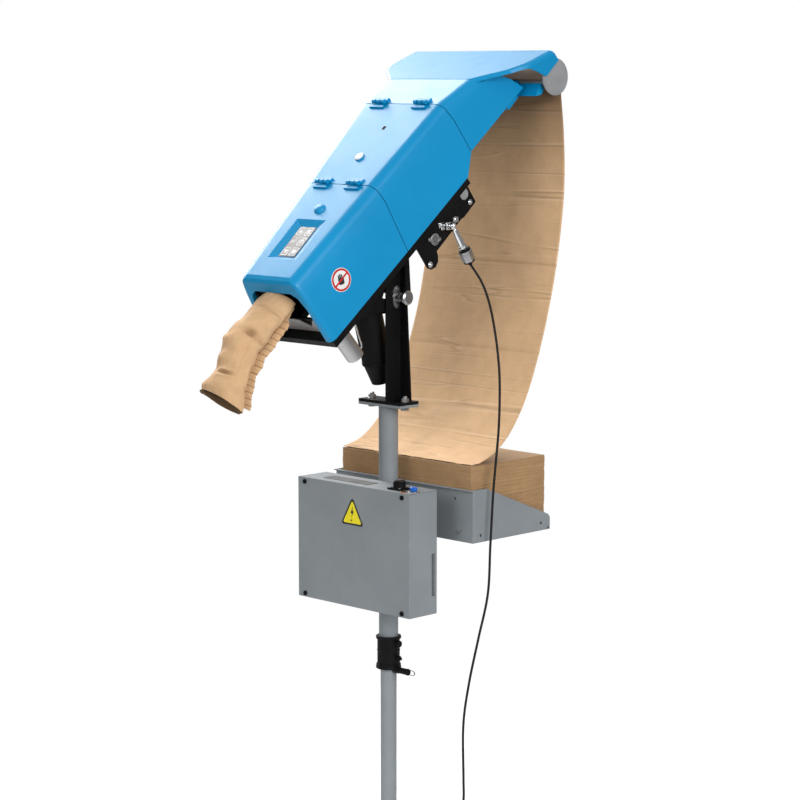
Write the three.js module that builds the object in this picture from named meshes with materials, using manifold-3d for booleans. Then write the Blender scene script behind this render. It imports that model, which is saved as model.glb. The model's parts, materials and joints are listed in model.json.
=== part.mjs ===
// Void-fill paper converter on a height-adjustable pole stand, with its paper pack and foot switch.
// Millimetres, +Z up. The paper comes out towards -Y, and the origin is on the floor under the pole.
import * as THREE from 'three';
import { mergeVertices } from 'three/addons/utils/BufferGeometryUtils.js';
import Module from 'manifold-3d';

const wasm = await Module();
wasm.setup();

// ---- driving dimensions ---------------------------------------------------------------------
const GAP = 0.3;                       // clearance between separate pieces
const PAPER_WIDTH = 381;               // fan-folded void-fill paper, 15 inches wide
const PAPER_SKIN = 1.2;                // thickness given to the running paper

const BASE = { halfX: 270, halfY: 330, tube: 40, clear: 18, footRadius: 24 };
const POLE = { outer: 40.4, bore: 34.4, inner: 33.7, innerBore: 28.5, innerTop: 1080, bottom: 549.5,
  travel: 300 };
const PLATE = { width: 122, depth: 54, top: 1110, thick: 6, boltX: 48, boltRadius: 5 };
const COLLAR = { bottom: 545, top: 611, radius: 23.8, rim: 26, pinZ: 541, screws: [566, 597] };

const BOX = { width: 328, depth: 79, back: -24.7, top: 942.6, height: 255, sheet: 1.5, lip: 68 };
const SWITCH = { x: 104, y: -72 };
const BUTTON = { x: 146, y: -74 };
const TRAY = { width: 403, front: 42.5, depth: 237, top: 937, height: 109.5, sheet: 2 };
const PACK = { depth: 229, front: 48, top: 985.7 };

// The head is drawn flat: x across, y (called u) from the outlet to the rear, z (called v) up from
// its top sheet. A group then tilts it.
const HEAD = { y: -339, z: 1380, tilt: 42, wall: 3, bottom: -149.5 };
const SEAM = { lower: 268, upper: 505, gap: 0.8 };
const HOOD = { drop: -18.3, fold: 602, rear: 757, slope: 0.397 };
// The hood's flared wing: half width and side depth at stations behind the fold. The side's lower
// edge is an arch.
const WING = [
  { u: 600, half: 121, depth: 1 }, { u: 650, half: 181, depth: 0.5 }, { u: 668, half: 191, depth: 1 },
  { u: 683, half: 198, depth: 4 }, { u: 695, half: 200, depth: 18 }, { u: 702, half: 200.6, depth: 30 },
  { u: 708, half: 200.8, depth: 38 }, { u: 757, half: 202, depth: 18 },
];
const HINGE = { rise: 6, radius: 5, pin: 1.8, leaf: 14, half: 17, lowerX: 45, upperX: 60 };
const CHASSIS = { top: -150, thick: 14, front: -19, rear: 448, rail: 22 };
const KEYPAD = { u0: 57, u1: 167, half: 42, floorU0: 68, floorU1: 151, floorHalf: 23.5, depth: 7 };
const PIVOT = { y: -5, z: 1395, pinY: 0, pinZ: 1325, pinRadius: 5, swing: 20 };
const SIDE_PLATE = { x: 110, thick: 2.5 };
const ROLLER = { u: 733.4, v: -131.5, radius: 17, disc: 38.3, discX: 191.6, discThick: 3.4 };
const WHEEL = { u: 190, nip: -75, radius: 32, pitch: 33, teeth: 22, halfWidth: 34, frameX: 62 };
const CORD = { radius: 2.5, join: 0.38 };

// The cord's route, from the gland on the head down to the foot switch on the floor.
const CORD_ROUTE = [
  [130, 109, 1391], [148, 123, 1355], [165, 128.5, 1311], [184, 128, 1241], [198, 123, 1177],
  [208, 114, 1126], [217, 101.5, 1058], [220, 90.5, 995], [220, 83, 931], [220, 75, 821],
  [220, 68, 721], [215, 45, 629], [208, 26, 541], [202, 16, 458], [200, 18.7, 337],
  [200, 19, 292], [201, 5, 215], [202, -22, 140], [202, -50, 80], [201, -72, 45], [200, -89.5, 34.5],
].map(([x, y, z]) => new THREE.Vector3(x, y, z));

// The running paper, seen from the side, from the pack's front edge up to the infeed roller.
const WEB_ROUTE = [
  [52, 987.2], [95, 996], [136, 1018], [172, 1052], [214, 1112], [262, 1222], [298, 1345],
  [322, 1480], [329, 1560], [326, 1660],
];
// The crumpled paper that leaves the outlet: x, y, z, half width, and its thickness as a share of
// its width.
const TUBE_ROUTE = [
  [-7, -297, 1333, 44, 0.66], [-8, -316, 1316, 46, 0.68], [-10, -338, 1296, 47, 0.72],
  [-12, -360, 1277, 48, 0.76], [-14, -381, 1257, 49, 0.76], [-14, -402, 1230, 47, 0.74],
  [-13, -421, 1201, 46, 0.66], [-11, -438, 1174, 53, 0.54], [-10, -455, 1146, 66, 0.42],
];

// ---- materials ------------------------------------------------------------------------------
const FINISH = {
  bluePaint: [0x0a8fd0, 0.35, 0.0],
  greyPaint: [0x868c90, 0.5, 0.2],
  blackPaint: [0x1b1b1c, 0.5, 0.2],
  steel: [0xa9abad, 0.3, 0.9],
  chrome: [0xc8cacc, 0.15, 1.0],
  rubber: [0x141414, 0.9, 0.0],
  blackPlastic: [0x161617, 0.5, 0.0],
  greyPlastic: [0x9a9ca0, 0.5, 0.0],
  redPlastic: [0xb02020, 0.5, 0.0],
  bluePlastic: [0x1560c0, 0.4, 0.0],
  paper: [0xbe9b73, 0.9, 0.0],
  board: [0x1f6b3a, 0.6, 0.0],
};

function finish(name) {
  const [color, roughness, metalness] = FINISH[name];
  return new THREE.MeshStandardMaterial({ color, roughness, metalness });
}

// ---- solid helpers --------------------------------------------------------------------------
function solid(geometry) {
  const bare = geometry.index ? geometry.toNonIndexed() : geometry.clone();
  bare.deleteAttribute('normal');
  bare.deleteAttribute('uv');
  const merged = mergeVertices(bare, 1e-4);
  return new wasm.Manifold(new wasm.Mesh({
    numProp: 3,
    vertProperties: new Float32Array(merged.attributes.position.array),
    triVerts: new Uint32Array(merged.index.array),
  }));
}

function geometryOf(manifold) {
  const mesh = manifold.getMesh();
  const geometry = new THREE.BufferGeometry();
  geometry.setAttribute('position', new THREE.BufferAttribute(mesh.vertProperties, 3));
  geometry.setIndex(new THREE.BufferAttribute(mesh.triVerts, 1));
  geometry.computeVertexNormals();
  return geometry;
}

const join = (...parts) => wasm.Manifold.union(parts);
const cut = (body, ...tools) => wasm.Manifold.difference([body, ...tools]);

function block(x0, x1, y0, y1, z0, z1) {
  const geometry = new THREE.BoxGeometry(x1 - x0, y1 - y0, z1 - z0);
  return solid(geometry.translate((x0 + x1) / 2, (y0 + y1) / 2, (z0 + z1) / 2));
}

// A round bar from one point to another; a second radius makes it a cone.
function bar(from, to, radius, sides = 16, endRadius = radius) {
  const a = new THREE.Vector3(...from);
  const b = new THREE.Vector3(...to);
  const way = b.clone().sub(a);
  const geometry = new THREE.CylinderGeometry(endRadius, radius, way.length(), sides);
  const turn = new THREE.Quaternion().setFromUnitVectors(new THREE.Vector3(0, 1, 0), way.normalize());
  geometry.applyQuaternion(turn);
  return solid(geometry.translate(...a.add(b).multiplyScalar(0.5).toArray()));
}

const barX = (x0, x1, y, z, radius, sides = 16, end = radius) =>
  bar([x0, y, z], [x1, y, z], radius, sides, end);
const barZ = (x, y, z0, z1, radius, sides = 16, end = radius) =>
  bar([x, y, z0], [x, y, z1], radius, sides, end);

// A body turned about an X axis through (y, z), from a closed profile of [x, radius] points.
function turnedX(profile, y, z, sides = 20) {
  const points = profile.map(([x, radius]) => new THREE.Vector2(radius, x));
  const geometry = new THREE.LatheGeometry(points, sides);
  return solid(geometry.rotateZ(-Math.PI / 2).translate(0, y, z));
}

// A flat plate across X, from a closed outline of [y, z] points.
function plateX(outline, x0, x1) {
  const shape = new THREE.Shape(outline.map(([y, z]) => new THREE.Vector2(y, z)));
  const geometry = new THREE.ExtrudeGeometry(shape, { depth: x1 - x0, bevelEnabled: false });
  const axes = new THREE.Matrix4().makeBasis(
    new THREE.Vector3(0, 1, 0), new THREE.Vector3(0, 0, 1), new THREE.Vector3(1, 0, 0));
  return solid(geometry.applyMatrix4(axes).translate(x0, 0, 0));
}

// A flat plate across Y, from a closed outline of [x, z] points.
function plateY(outline, y0, y1) {
  const shape = new THREE.Shape(outline.map(([x, z]) => new THREE.Vector2(x, z)));
  const geometry = new THREE.ExtrudeGeometry(shape, { depth: y1 - y0, bevelEnabled: false });
  return solid(geometry.rotateX(Math.PI / 2).translate(0, y1, 0));
}

// A solid through rings of points that mirror each other left to right.
function loft(rings) {
  const count = rings[0].length;
  const triangles = [];
  const at = (ring, i) => rings[ring][i % count];
  for (let r = 0; r + 1 < rings.length; r += 1) {
    for (let i = 0; i < count; i += 1) {
      triangles.push(at(r, i), at(r, i + 1), at(r + 1, i + 1));
      triangles.push(at(r, i), at(r + 1, i + 1), at(r + 1, i));
    }
  }
  const cap = (ring, flip) => {
    for (let i = 0; i + 1 < count / 2; i += 1) {
      const [a, b, c, d] = [i, i + 1, count - 2 - i, count - 1 - i].map((k) => at(ring, k));
      const faces = b === c ? [[a, b, d]] : [[a, b, c], [a, c, d]];
      for (const face of faces) triangles.push(...(flip ? face : face.reverse()));
    }
  };
  cap(0, false);
  cap(rings.length - 1, true);
  const geometry = new THREE.BufferGeometry();
  geometry.setAttribute('position', new THREE.Float32BufferAttribute(triangles.flat(), 3));
  const body = solid(geometry);
  return body.volume() < 0 ? solid(flipped(geometry)) : body;
}

function flipped(geometry) {
  const p = geometry.attributes.position.array.slice();
  for (let i = 0; i < p.length; i += 9) {
    for (let k = 0; k < 3; k += 1) [p[i + 3 + k], p[i + 6 + k]] = [p[i + 6 + k], p[i + 3 + k]];
  }
  const other = new THREE.BufferGeometry();
  other.setAttribute('position', new THREE.BufferAttribute(p, 3));
  return other;
}

// A round-cornered ring around a centre, for lofting along a bending path in the YZ plane.
function ovalRing([x, y, z, half, flat], next, sides, scale = 1) {
  const way = new THREE.Vector2(next[1] - y, next[2] - z).normalize();
  const ring = [];
  for (let i = 0; i < sides; i += 1) {
    const angle = Math.PI * (2 * i + 1) / sides - Math.PI / 2;
    const across = half * scale * Math.sin(angle);
    const up = half * scale * flat * Math.cos(angle);
    ring.push([x + across, y + up * way.y, z - up * way.x]);
  }
  return ring;
}

// ---- head cover shapes ----------------------------------------------------------------------
// The covers widen towards the rear and towards the bottom.
const coverHalf = (u, v) => 102 + 0.07 * u - 0.12 * (v + 155);
const noseLean = (v) => 0.12 * v;
const lowerLean = (v) => Math.min(0, v + 30) * 0.27;
const upperLean = (v) => Math.min(0, v + 40) * 0.15;
const wingTop = (u) => HOOD.drop + (HOOD.fold - u) * HOOD.slope;

function coverRing(u, lean, inset, bottom, radius = 24, top = 0) {
  const crown = top - inset;
  const round = Math.max(radius - inset, 6);
  const corner = coverHalf(u, crown) - inset;
  const right = [];
  for (let i = 0; i <= 5; i += 1) {
    const angle = Math.PI / 2 * (i / 5) * 0.93;
    right.push([corner - round + round * Math.sin(angle), crown - round + round * Math.cos(angle)]);
  }
  for (const v of [-42, -90, bottom]) right.push([coverHalf(u, v) - inset, v]);
  const ring = [...right.map(([x, v]) => [-x, v]).reverse(), ...right];
  return ring.map(([x, v]) => [x, u + lean(v), v]);
}

function hingeBarrel(u, x, from, to, bored) {
  const barrel = barX(x + from, x + to, u, HINGE.rise, HINGE.radius, 12);
  const bore = barX(x + from - 1, x + to + 1, u, HINGE.rise, HINGE.pin + GAP, 8);
  return bored ? cut(barrel, bore) : barrel;
}

// side is -1 for a leaf on the outlet side of the seam, +1 for one on the rear side.
function hingeLeaf(u, x, side, knuckles) {
  const y = (a, b) => [Math.min(u + side * a, u + side * b), Math.max(u + side * a, u + side * b)];
  const { half, leaf } = HINGE;
  const ring = (share, away) => [[x - share, u + side * away, -1.5], [x - share, u + side * away, 4],
    [x + share, u + side * away, 4], [x + share, u + side * away, -1.5]];
  const parts = [loft([ring(half, 5.7), ring(half + 2.5, leaf)])];
  for (const [from, to] of knuckles) {
    const link = block(x + from, x + to, ...y(2.4, 7), 1.2, 4);
    const bored = side < 0;
    parts.push(link, hingeBarrel(u, x, from, to, bored));
  }
  if (side > 0) parts.push(barX(x - half + 1, x + half - 1, u, HINGE.rise, HINGE.pin, 8));
  return join(...parts);
}

const MIDDLE_KNUCKLE = [[-5, 5]];
const OUTER_KNUCKLES = [[-HINGE.half, -8.5], [8.5, HINGE.half]];

function frontCover() {
  const end = SEAM.lower - SEAM.gap;
  const outer = loft([
    coverRing(-2, noseLean, 9, HEAD.bottom, 20),
    coverRing(1, noseLean, 3, HEAD.bottom, 23),
    coverRing(9, noseLean, 0, HEAD.bottom),
    coverRing(end, lowerLean, 0, HEAD.bottom),
  ]);
  const inner = loft([
    coverRing(HEAD.wall + 4, noseLean, 9, HEAD.bottom - 9, 20),
    coverRing(14, noseLean, HEAD.wall, HEAD.bottom - 9),
    coverRing(end + 8, lowerLean, HEAD.wall, HEAD.bottom - 9),
  ]);
  const outlet = plateY([
    [-84, -170], [84, -170], [76, -70], [66, -42], [52, -32], [-52, -32], [-66, -42], [-76, -70],
  ], -40, 30);
  const leaves = [-1, 1].map((s) => hingeLeaf(SEAM.lower, s * HINGE.lowerX, -1, MIDDLE_KNUCKLE));
  const catchButton = bar([1, 196, -2], [1, 196, 4], 14, 16, 11);
  const shell = cut(outer, inner, outlet);
  const pan = block(-KEYPAD.half - 2, KEYPAD.half + 2, KEYPAD.u0 - 2, KEYPAD.u1 + 2, -KEYPAD.depth - 2.5, -1);
  return cut(join(shell, pan, ...leaves, catchButton), keypadRecess());
}

// The keypad lies at the bottom of a recess with sloping sides.
function keypadRecess() {
  const { u0, u1, half, floorU0, floorU1, floorHalf, depth } = KEYPAD;
  const ring = (x, a, b, v) => [[-x, a, v], [-x, b, v], [x, b, v], [x, a, v]];
  return loft([
    ring(floorHalf, floorU0, floorU1, -depth), ring(half, u0, u1, 0), ring(half, u0, u1, 5),
  ]);
}

function midCover() {
  const start = SEAM.lower + SEAM.gap;
  const end = SEAM.upper - SEAM.gap;
  const outer = loft([
    coverRing(start, lowerLean, 0, HEAD.bottom),
    coverRing(end, upperLean, 0, HEAD.bottom, 20),
  ]);
  const inner = loft([
    coverRing(start - 8, lowerLean, HEAD.wall, HEAD.bottom - 9),
    coverRing(end + 8, upperLean, HEAD.wall, HEAD.bottom - 9, 20),
  ]);
  const corner = plateX([[495, -117], [520, -117], [520, -175], [440, -175], [440, -157]], -170, 170);
  const rear = [-1, 1].map((s) => hingeLeaf(SEAM.lower, s * HINGE.lowerX, 1, OUTER_KNUCKLES));
  const front = [-1, 1].map((s) => hingeLeaf(SEAM.upper, s * HINGE.upperX, -1, MIDDLE_KNUCKLE));
  const cap = bar([1, 346, -1], [1, 346, 3], 11, 16, 10);
  const slot = block(1, 9, 428, 438, -6, 4);
  return cut(join(cut(outer, inner, corner), ...rear, ...front, cap), slot);
}

// One cross-section of the flared rear wing: a shallow tray upside down.
function wingRing(u, half, depth, inset) {
  const top = wingTop(u) - inset;
  const right = [[half - 10, top], [half - 3 - inset, top - 3], [half - inset, top - 9]];
  right.push([half - inset, top - 9 - depth]);
  return [...right.map(([x, v]) => [-x, u, v]).reverse(), ...right.map(([x, v]) => [x, u, v])];
}

function rearHood() {
  const start = SEAM.upper + SEAM.gap;
  const neckU = [start, HOOD.fold, 688];
  const neckTop = [0, HOOD.drop, wingTop(688) - 1];
  const neckRing = (inset, shift) => neckU.map((u, i) =>
    coverRing(u + shift[i], i ? () => 0 : upperLean, inset, -118 - inset * 3, 20, neckTop[i]));
  const neck = cut(loft(neckRing(0, [0, 0, 0])), loft(neckRing(HEAD.wall, [-8, 0, 8])));
  const rearCut = plateX([
    [HOOD.fold + 4, -23.5], [648, -48], [672, -82], [686, -119], [720, -119], [720, 20],
    [HOOD.fold + 4, 20],
  ], -200, 200);
  const wing = loft(WING.map(({ u, half, depth }) => wingRing(u, half, depth, 0)));
  const hollow = loft(WING.map(({ u, half, depth }) =>
    wingRing(u + (u === HOOD.rear ? 6 : 0), half, depth + 30, HEAD.wall)));
  const shell = cut(wing, hollow, block(-300, 300, HOOD.rear - 0.01, 900, -300, 100));
  const leaves = [-1, 1].map((s) => hingeLeaf(SEAM.upper, s * HINGE.upperX, 1, OUTER_KNUCKLES));
  return join(cut(neck, rearCut), shell, ...leaves);
}

// The lip under the paper, with two arms that carry the infeed roller's journals.
function paperGuide() {
  const lip = plateX([[676, -133], [704, -123], [707, -125], [703, -140], [690, -142]], -178, 178);
  const arms = [-100, 100].map((x) => {
    const arm = plateX([[690, -141], [694, -126], [733, -121], [742, -135], [735, -146]], x - 4, x + 4);
    const eye = barX(x - 4, x + 4, ROLLER.u, ROLLER.v, 14, 20);
    return join(arm, eye);
  });
  const bores = [-100, 100].map((x) => barX(x - 9, x + 9, ROLLER.u, ROLLER.v, 8 + GAP, 16));
  const ears = [-1, 1].map((s) => block(...[s * 112, s * 124].sort((a, b) => a - b), 640, 690, -139, -119));
  return cut(join(lip, ...arms, ...ears), ...bores);
}

function infeedRoller() {
  const { radius, disc, discX, discThick } = ROLLER;
  const end = discX + discThick;
  const profile = [[-end, 0], [-end, disc], [-discX, disc], [-discX, radius]];
  for (const x of [-100, 100]) {
    profile.push([x - 6, radius], [x - 6, 8], [x + 6, 8], [x + 6, radius]);
  }
  profile.push([discX, radius], [discX, disc], [end, disc], [end, 0]);
  return turnedX(profile, ROLLER.u, ROLLER.v, 28);
}

// ---- head chassis and works -----------------------------------------------------------------
function chassis() {
  const { top, thick, front, rear, rail } = CHASSIS;
  const half = (u) => coverHalf(u, -160) - 0.5;
  const outline = [[-half(front), front], [half(front), front], [half(rear), rear], [-half(rear), rear]];
  const shape = new THREE.Shape(outline.map(([x, u]) => new THREE.Vector2(x, u)));
  const extrude = { depth: thick, bevelEnabled: false };
  const plate = solid(new THREE.ExtrudeGeometry(shape, extrude).translate(0, 0, top - thick));
  const rails = [-1, 1].map((s) => {
    const inner = (u, offset) => s * (half(u) - 8 - offset);
    const bottom = top - 1;
    const ring = (u) => [[inner(u, 3), bottom], [inner(u, 3), top + rail], [inner(u, 0), top + rail],
      [inner(u, 0), bottom]].map(([x, v]) => [x, u, v]);
    return loft([ring(20), ring(430)]);
  });
  const cheeks = [-1, 1].map((s) => {
    const [x0, x1] = [s * WHEEL.frameX, s * (WHEEL.frameX + 4)].sort((a, b) => a - b);
    return plateX([[145, top - 1], [250, top - 1], [250, -60], [226, -14], [158, -14], [145, -60]], x0, x1);
  });
  const shafts = [WHEEL.nip - WHEEL.pitch, WHEEL.nip + WHEEL.pitch].map((v) =>
    barX(-90, 90, WHEEL.u, v, 8 + GAP, 16));
  const lightening = [block(-52, 52, 300, 400, top - 20, top + 4), block(-40, 40, 20, 120, top - 20, top + 4)];
  return cut(join(plate, ...rails, ...cheeks), ...shafts, ...lightening);
}

function gearOutline(teeth, pitch, phase) {
  const outline = [];
  for (let i = 0; i < teeth; i += 1) {
    const centre = (i + phase) * 2 * Math.PI / teeth;
    const step = Math.PI / teeth;
    const corners = [[-0.66, -2.7], [-0.24, 2.0], [0.24, 2.0], [0.66, -2.7]];
    for (const [share, rise] of corners) {
      const angle = centre + share * step;
      outline.push([(pitch + rise) * Math.cos(angle), (pitch + rise) * Math.sin(angle)]);
    }
  }
  return outline;
}

// A feed wheel on its shaft, with the gear that ties it to the other one.
function feedWheel(v, phase) {
  const { u, radius, halfWidth, pitch, teeth, frameX } = WHEEL;
  const shaft = barX(-(frameX + 8), frameX + 22, u, v, 8, 16);
  const wheel = barX(-halfWidth, halfWidth, u, v, radius, 24);
  const gear = plateX(gearOutline(teeth, pitch, phase).map(([a, b]) => [u + a, v + b]),
    frameX + 8, frameX + 16);
  return join(shaft, wheel, gear);
}

function formingChute() {
  const ring = (u, half, low, high) => [[-half, u, low], [-half, u, high], [half, u, high], [half, u, low]];
  const outer = loft([ring(285, 44, -108, -42), ring(340, 52, -112, -38), ring(585, 116, -112, -52)]);
  const inner = loft([ring(284, 42, -106, -44), ring(340, 50, -110, -40), ring(586, 114, -110, -54)]);
  const feet = [-1, 1].map((s) => block(s * 46 - 3, s * 46 + 3, 410, 430, CHASSIS.top + GAP, -108));
  const floorSlot = block(-22, 22, 296, 574, -120, -100);
  return cut(join(outer, ...feet), inner, floorSlot);
}

// The black frame round the outlet: the blade runs in front of its window.
function cutterFrame() {
  const frame = block(-70, 70, 8, 13, -149.7, -22);
  const window = block(-46, 46, 0, 20, -118, -28);
  const guides = [-1, 1].map((s) => block(s * 66 - 4, s * 66 + 4, 2, 9, -149.7, -48));
  return cut(join(frame, ...guides), window);
}

function cutterBlade() {
  const outline = [[-61.6, -149], [61.6, -149], [61.6, -119], [44, -119], [31, -136], [4, -119], [-61.6, -119]];
  return plateY(outline, 4, 6.5);
}

function sidePlate(side) {
  const outline = [[262, -164.5], [258, -221], [264, -231], [276, -236], [289, -232], [296, -224],
    [300, -214], [397, -216], [403, -219], [450, -219], [454, -172], [448, -164.5]];
  const [x0, x1] = [side * SIDE_PLATE.x, side * (SIDE_PLATE.x + SIDE_PLATE.thick)].sort((a, b) => a - b);
  const slit = block(-200, 200, 397.5, 399, -217.5, -182);
  return cut(plateX(outline, x0, x1), slit);
}

// Bars between the two side plates, with their screw heads outside.
function tieBar(u, v, radius) {
  const inside = SIDE_PLATE.x - GAP;
  return barX(-inside, inside, u, v, radius, 16);
}

function tiltBracket() {
  const tilt = HEAD.tilt * Math.PI / 180;
  const local = (y, z) => {
    const dy = y - HEAD.y;
    const dz = z - HEAD.z;
    return [dy * Math.cos(tilt) + dz * Math.sin(tilt), dz * Math.cos(tilt) - dy * Math.sin(tilt)];
  };
  const [pu, pv] = local(PIVOT.y, PIVOT.z);
  const [ku, kv] = local(PIVOT.pinY, PIVOT.pinZ);
  const reach = Math.hypot(ku - pu, kv - pv);
  const middle = Math.atan2(kv - pv, ku - pu);
  const web = plateX([[96, -165.5], [96, -219], [176, -271], [205, -302], [252, -302], [300, -240],
    [300, -165.5]], 13, 16);
  const foot = block(-8, 16, 100, 296, -167.5, -164.3);
  const arc = [];
  for (const [radius, sign] of [[reach - 5.7, 1], [reach + 5.7, -1]]) {
    for (let i = 0; i <= 10; i += 1) {
      const angle = middle + sign * (i / 5 - 1) * (PIVOT.swing + 5.5) * Math.PI / 180;
      arc.push([pu + radius * Math.cos(angle), pv + radius * Math.sin(angle)]);
    }
  }
  const slot = plateX(arc, 10, 20);
  const eye = barX(5, 25, pu, pv, 8 + GAP, 16);
  const hole = barX(5, 25, 153, -220, 6, 12);
  return cut(join(web, foot), slot, eye, hole);
}

// The drive motor hangs beside the post, below its mounting block, leaning a little to the rear.
function driveMotor() {
  const block0 = block(-70, 4, -78, 8, 1290, 1318);
  const body = bar([-33, -33, 1304], [-33, -1.5, 1191], 31, 24);
  const band = bar([-33, -1.8, 1192], [-33, 0.1, 1185.2], 32, 24);
  const nose = bar([-33, -0.2, 1186.2], [-33, 11.8, 1143], 30, 24, 20);
  return join(block0, body, band, nose);
}

function cutterMotor() {
  const can = bar([52, 34, -166], [52, 34, -251], 18.5, 24);
  const flange = block(30, 74, 12, 56, -168, CHASSIS.top - CHASSIS.thick - GAP);
  const tail = bar([52, 34, -250], [52, 34, -254], 8, 12);
  return join(can, flange, tail);
}

function wireBail() {
  const path = new THREE.CatmullRomCurve3([
    [78, 42, -166.6], [78, 49, -171], [78, 57, -177], [78, 60.5, -183], [78, 58.5, -191],
    [78, 52, -208], [78, 44, -229], [76, 41, -232],
  ].map((p) => new THREE.Vector3(...p)));
  return solid(tubeAlong(path, 1.6, 28, 8));
}

function tubeAlong(curve, radius, steps, sides) {
  const shape = new THREE.Shape();
  for (let i = 0; i < sides; i += 1) {
    const angle = 2 * Math.PI * i / sides;
    const point = [radius * Math.cos(angle), radius * Math.sin(angle)];
    if (i === 0) shape.moveTo(...point);
    else shape.lineTo(...point);
  }
  shape.closePath();
  return new THREE.ExtrudeGeometry(shape, { steps, extrudePath: curve, bevelEnabled: false });
}

// The cable's holder: a chrome stem on the side plate, then a hexagonal block and a gland.
function cableStem() {
  const lug = block(113, 129, 28, 66, 1462, 1484);
  const stem = bar([128, 58, 1472], [128, 91, 1424], 5, 16, 8);
  return join(lug, stem);
}

function cableBlock() {
  const body = bar([128.3, 91.6, 1423], [129.2, 108, 1396.4], 14, 6);
  return join(body, bar([129.2, 108, 1396.4], [129.6, 109, 1392.4], 8, 12, 5));
}

function keypad() {
  const { floorU0, floorU1, floorHalf, depth } = KEYPAD;
  return block(-floorHalf + 0.4, floorHalf - 0.4, floorU0 + 0.4, floorU1 - 0.4, -depth + GAP, -depth + 1.3);
}

// ---- paper ----------------------------------------------------------------------------------
function paperTube() {
  const sides = 14;
  const end = TUBE_ROUTE.length - 1;
  const beyond = TUBE_ROUTE[end].map((v, k) => 2 * v - TUBE_ROUTE[end - 1][k]);
  const aim = (i) => (i < end ? TUBE_ROUTE[i + 1] : beyond);
  const outer = loft(TUBE_ROUTE.map((p, i) => ovalRing(p, aim(i), sides)));
  const thinner = ([x, y, z, half, flat]) => [x, y, z, half, flat - 0.04];
  const mouth = TUBE_ROUTE.slice(5).map((p, i) => ovalRing(thinner(p), aim(i + 5), sides, 0.88));
  const [x, y, z] = beyond;
  mouth.push(ovalRing([x, y, z, 72, 0.4], [x, 2 * y - TUBE_ROUTE[end][1], 2 * z - TUBE_ROUTE[end][2]],
    sides, 0.9));
  return cut(outer, loft(mouth));
}

function webCentreline() {
  const points = WEB_ROUTE.map(([y, z]) => new THREE.Vector2(y, z));
  const tilt = HEAD.tilt * Math.PI / 180;
  const centre = new THREE.Vector2(
    HEAD.y + ROLLER.u * Math.cos(tilt) - ROLLER.v * Math.sin(tilt),
    HEAD.z + ROLLER.u * Math.sin(tilt) + ROLLER.v * Math.cos(tilt));
  const wrap = ROLLER.radius + GAP + PAPER_SKIN / 2;
  for (let degrees = -5; degrees <= 132; degrees += 13.7) {
    const angle = degrees * Math.PI / 180;
    points.push(new THREE.Vector2(
      centre.x + wrap * Math.cos(angle), centre.y + wrap * Math.sin(angle)));
  }
  const last = points[points.length - 1];
  points.push(new THREE.Vector2(last.x - 30 * Math.cos(tilt), last.y - 30 * Math.sin(tilt)));
  return points;
}

function paperWeb() {
  const line = webCentreline();
  const left = [];
  const right = [];
  line.forEach((p, i) => {
    const before = line[Math.max(i - 1, 0)];
    const after = line[Math.min(i + 1, line.length - 1)];
    const way = after.clone().sub(before).normalize().multiplyScalar(PAPER_SKIN / 2);
    left.push([p.x - way.y, p.y + way.x]);
    right.push([p.x + way.y, p.y - way.x]);
  });
  return plateX([...right, ...left.reverse()], -PAPER_WIDTH / 2, PAPER_WIDTH / 2);
}

function paperPack() {
  const bottom = TRAY.top - TRAY.height + TRAY.sheet + GAP;
  const half = PAPER_WIDTH / 2;
  return block(-half, half, PACK.front, PACK.front + PACK.depth, bottom, PACK.top);
}

// ---- stand ----------------------------------------------------------------------------------
function baseFrame() {
  const { halfX, halfY, tube, clear } = BASE;
  const top = clear + tube;
  const legs = [-1, 1].map((s) =>
    block(s * halfX - tube / 2, s * halfX + tube / 2, -halfY, halfY, clear, top));
  const cross = block(-halfX, halfX, -tube / 2, tube / 2, clear, top);
  const hub = barZ(0, 0, clear, top + 42, 26, 24);
  const keeper = block(240 + GAP, halfX - tube / 2 + 1, -185, -125, clear, clear + 22);
  const gussets = [-1, 1].map((s) => plateY([[s * 20, top - 1], [s * 90, top - 1], [s * 20, top + 36]],
    -3, 3));
  const socket = barZ(0, 0, clear + 8, top + 60, POLE.inner / 2 + GAP, 32);
  return cut(join(...legs, cross, hub, keeper, ...gussets), socket);
}

function foot(x, y, radius = BASE.footRadius) {
  return join(barZ(x, y, 0, 9, radius, 20), barZ(x, y, 8.5, BASE.clear - GAP, 12, 12));
}

function lowerPole() {
  const bottom = BASE.clear + 8.4;
  const tube = cut(
    barZ(0, 0, bottom, POLE.innerTop, POLE.inner / 2, 32),
    barZ(0, 0, bottom - 5, POLE.innerTop + 5, POLE.innerBore / 2, 24));
  const slot = block(8, 22, -5.4, 5.4, COLLAR.pinZ - 5.4, COLLAR.pinZ + POLE.travel + 5.4);
  return cut(tube, slot);
}

function upperPole() {
  const top = PLATE.top - PLATE.thick - 5 - GAP;
  const tube = barZ(0, 0, POLE.bottom, top, POLE.outer / 2, 32);
  const flange = block(-PLATE.width / 2, PLATE.width / 2, -PLATE.depth / 2, PLATE.depth / 2, top - 0.5, top + 5);
  const bore = barZ(0, 0, POLE.bottom - 5, top - 3, POLE.bore / 2, 32);
  const holes = [-1, 1].map((s) => barZ(s * PLATE.boltX, 0, top - 10, top + 20, PLATE.boltRadius + GAP, 12));
  return cut(join(tube, flange), bore, ...holes);
}

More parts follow.
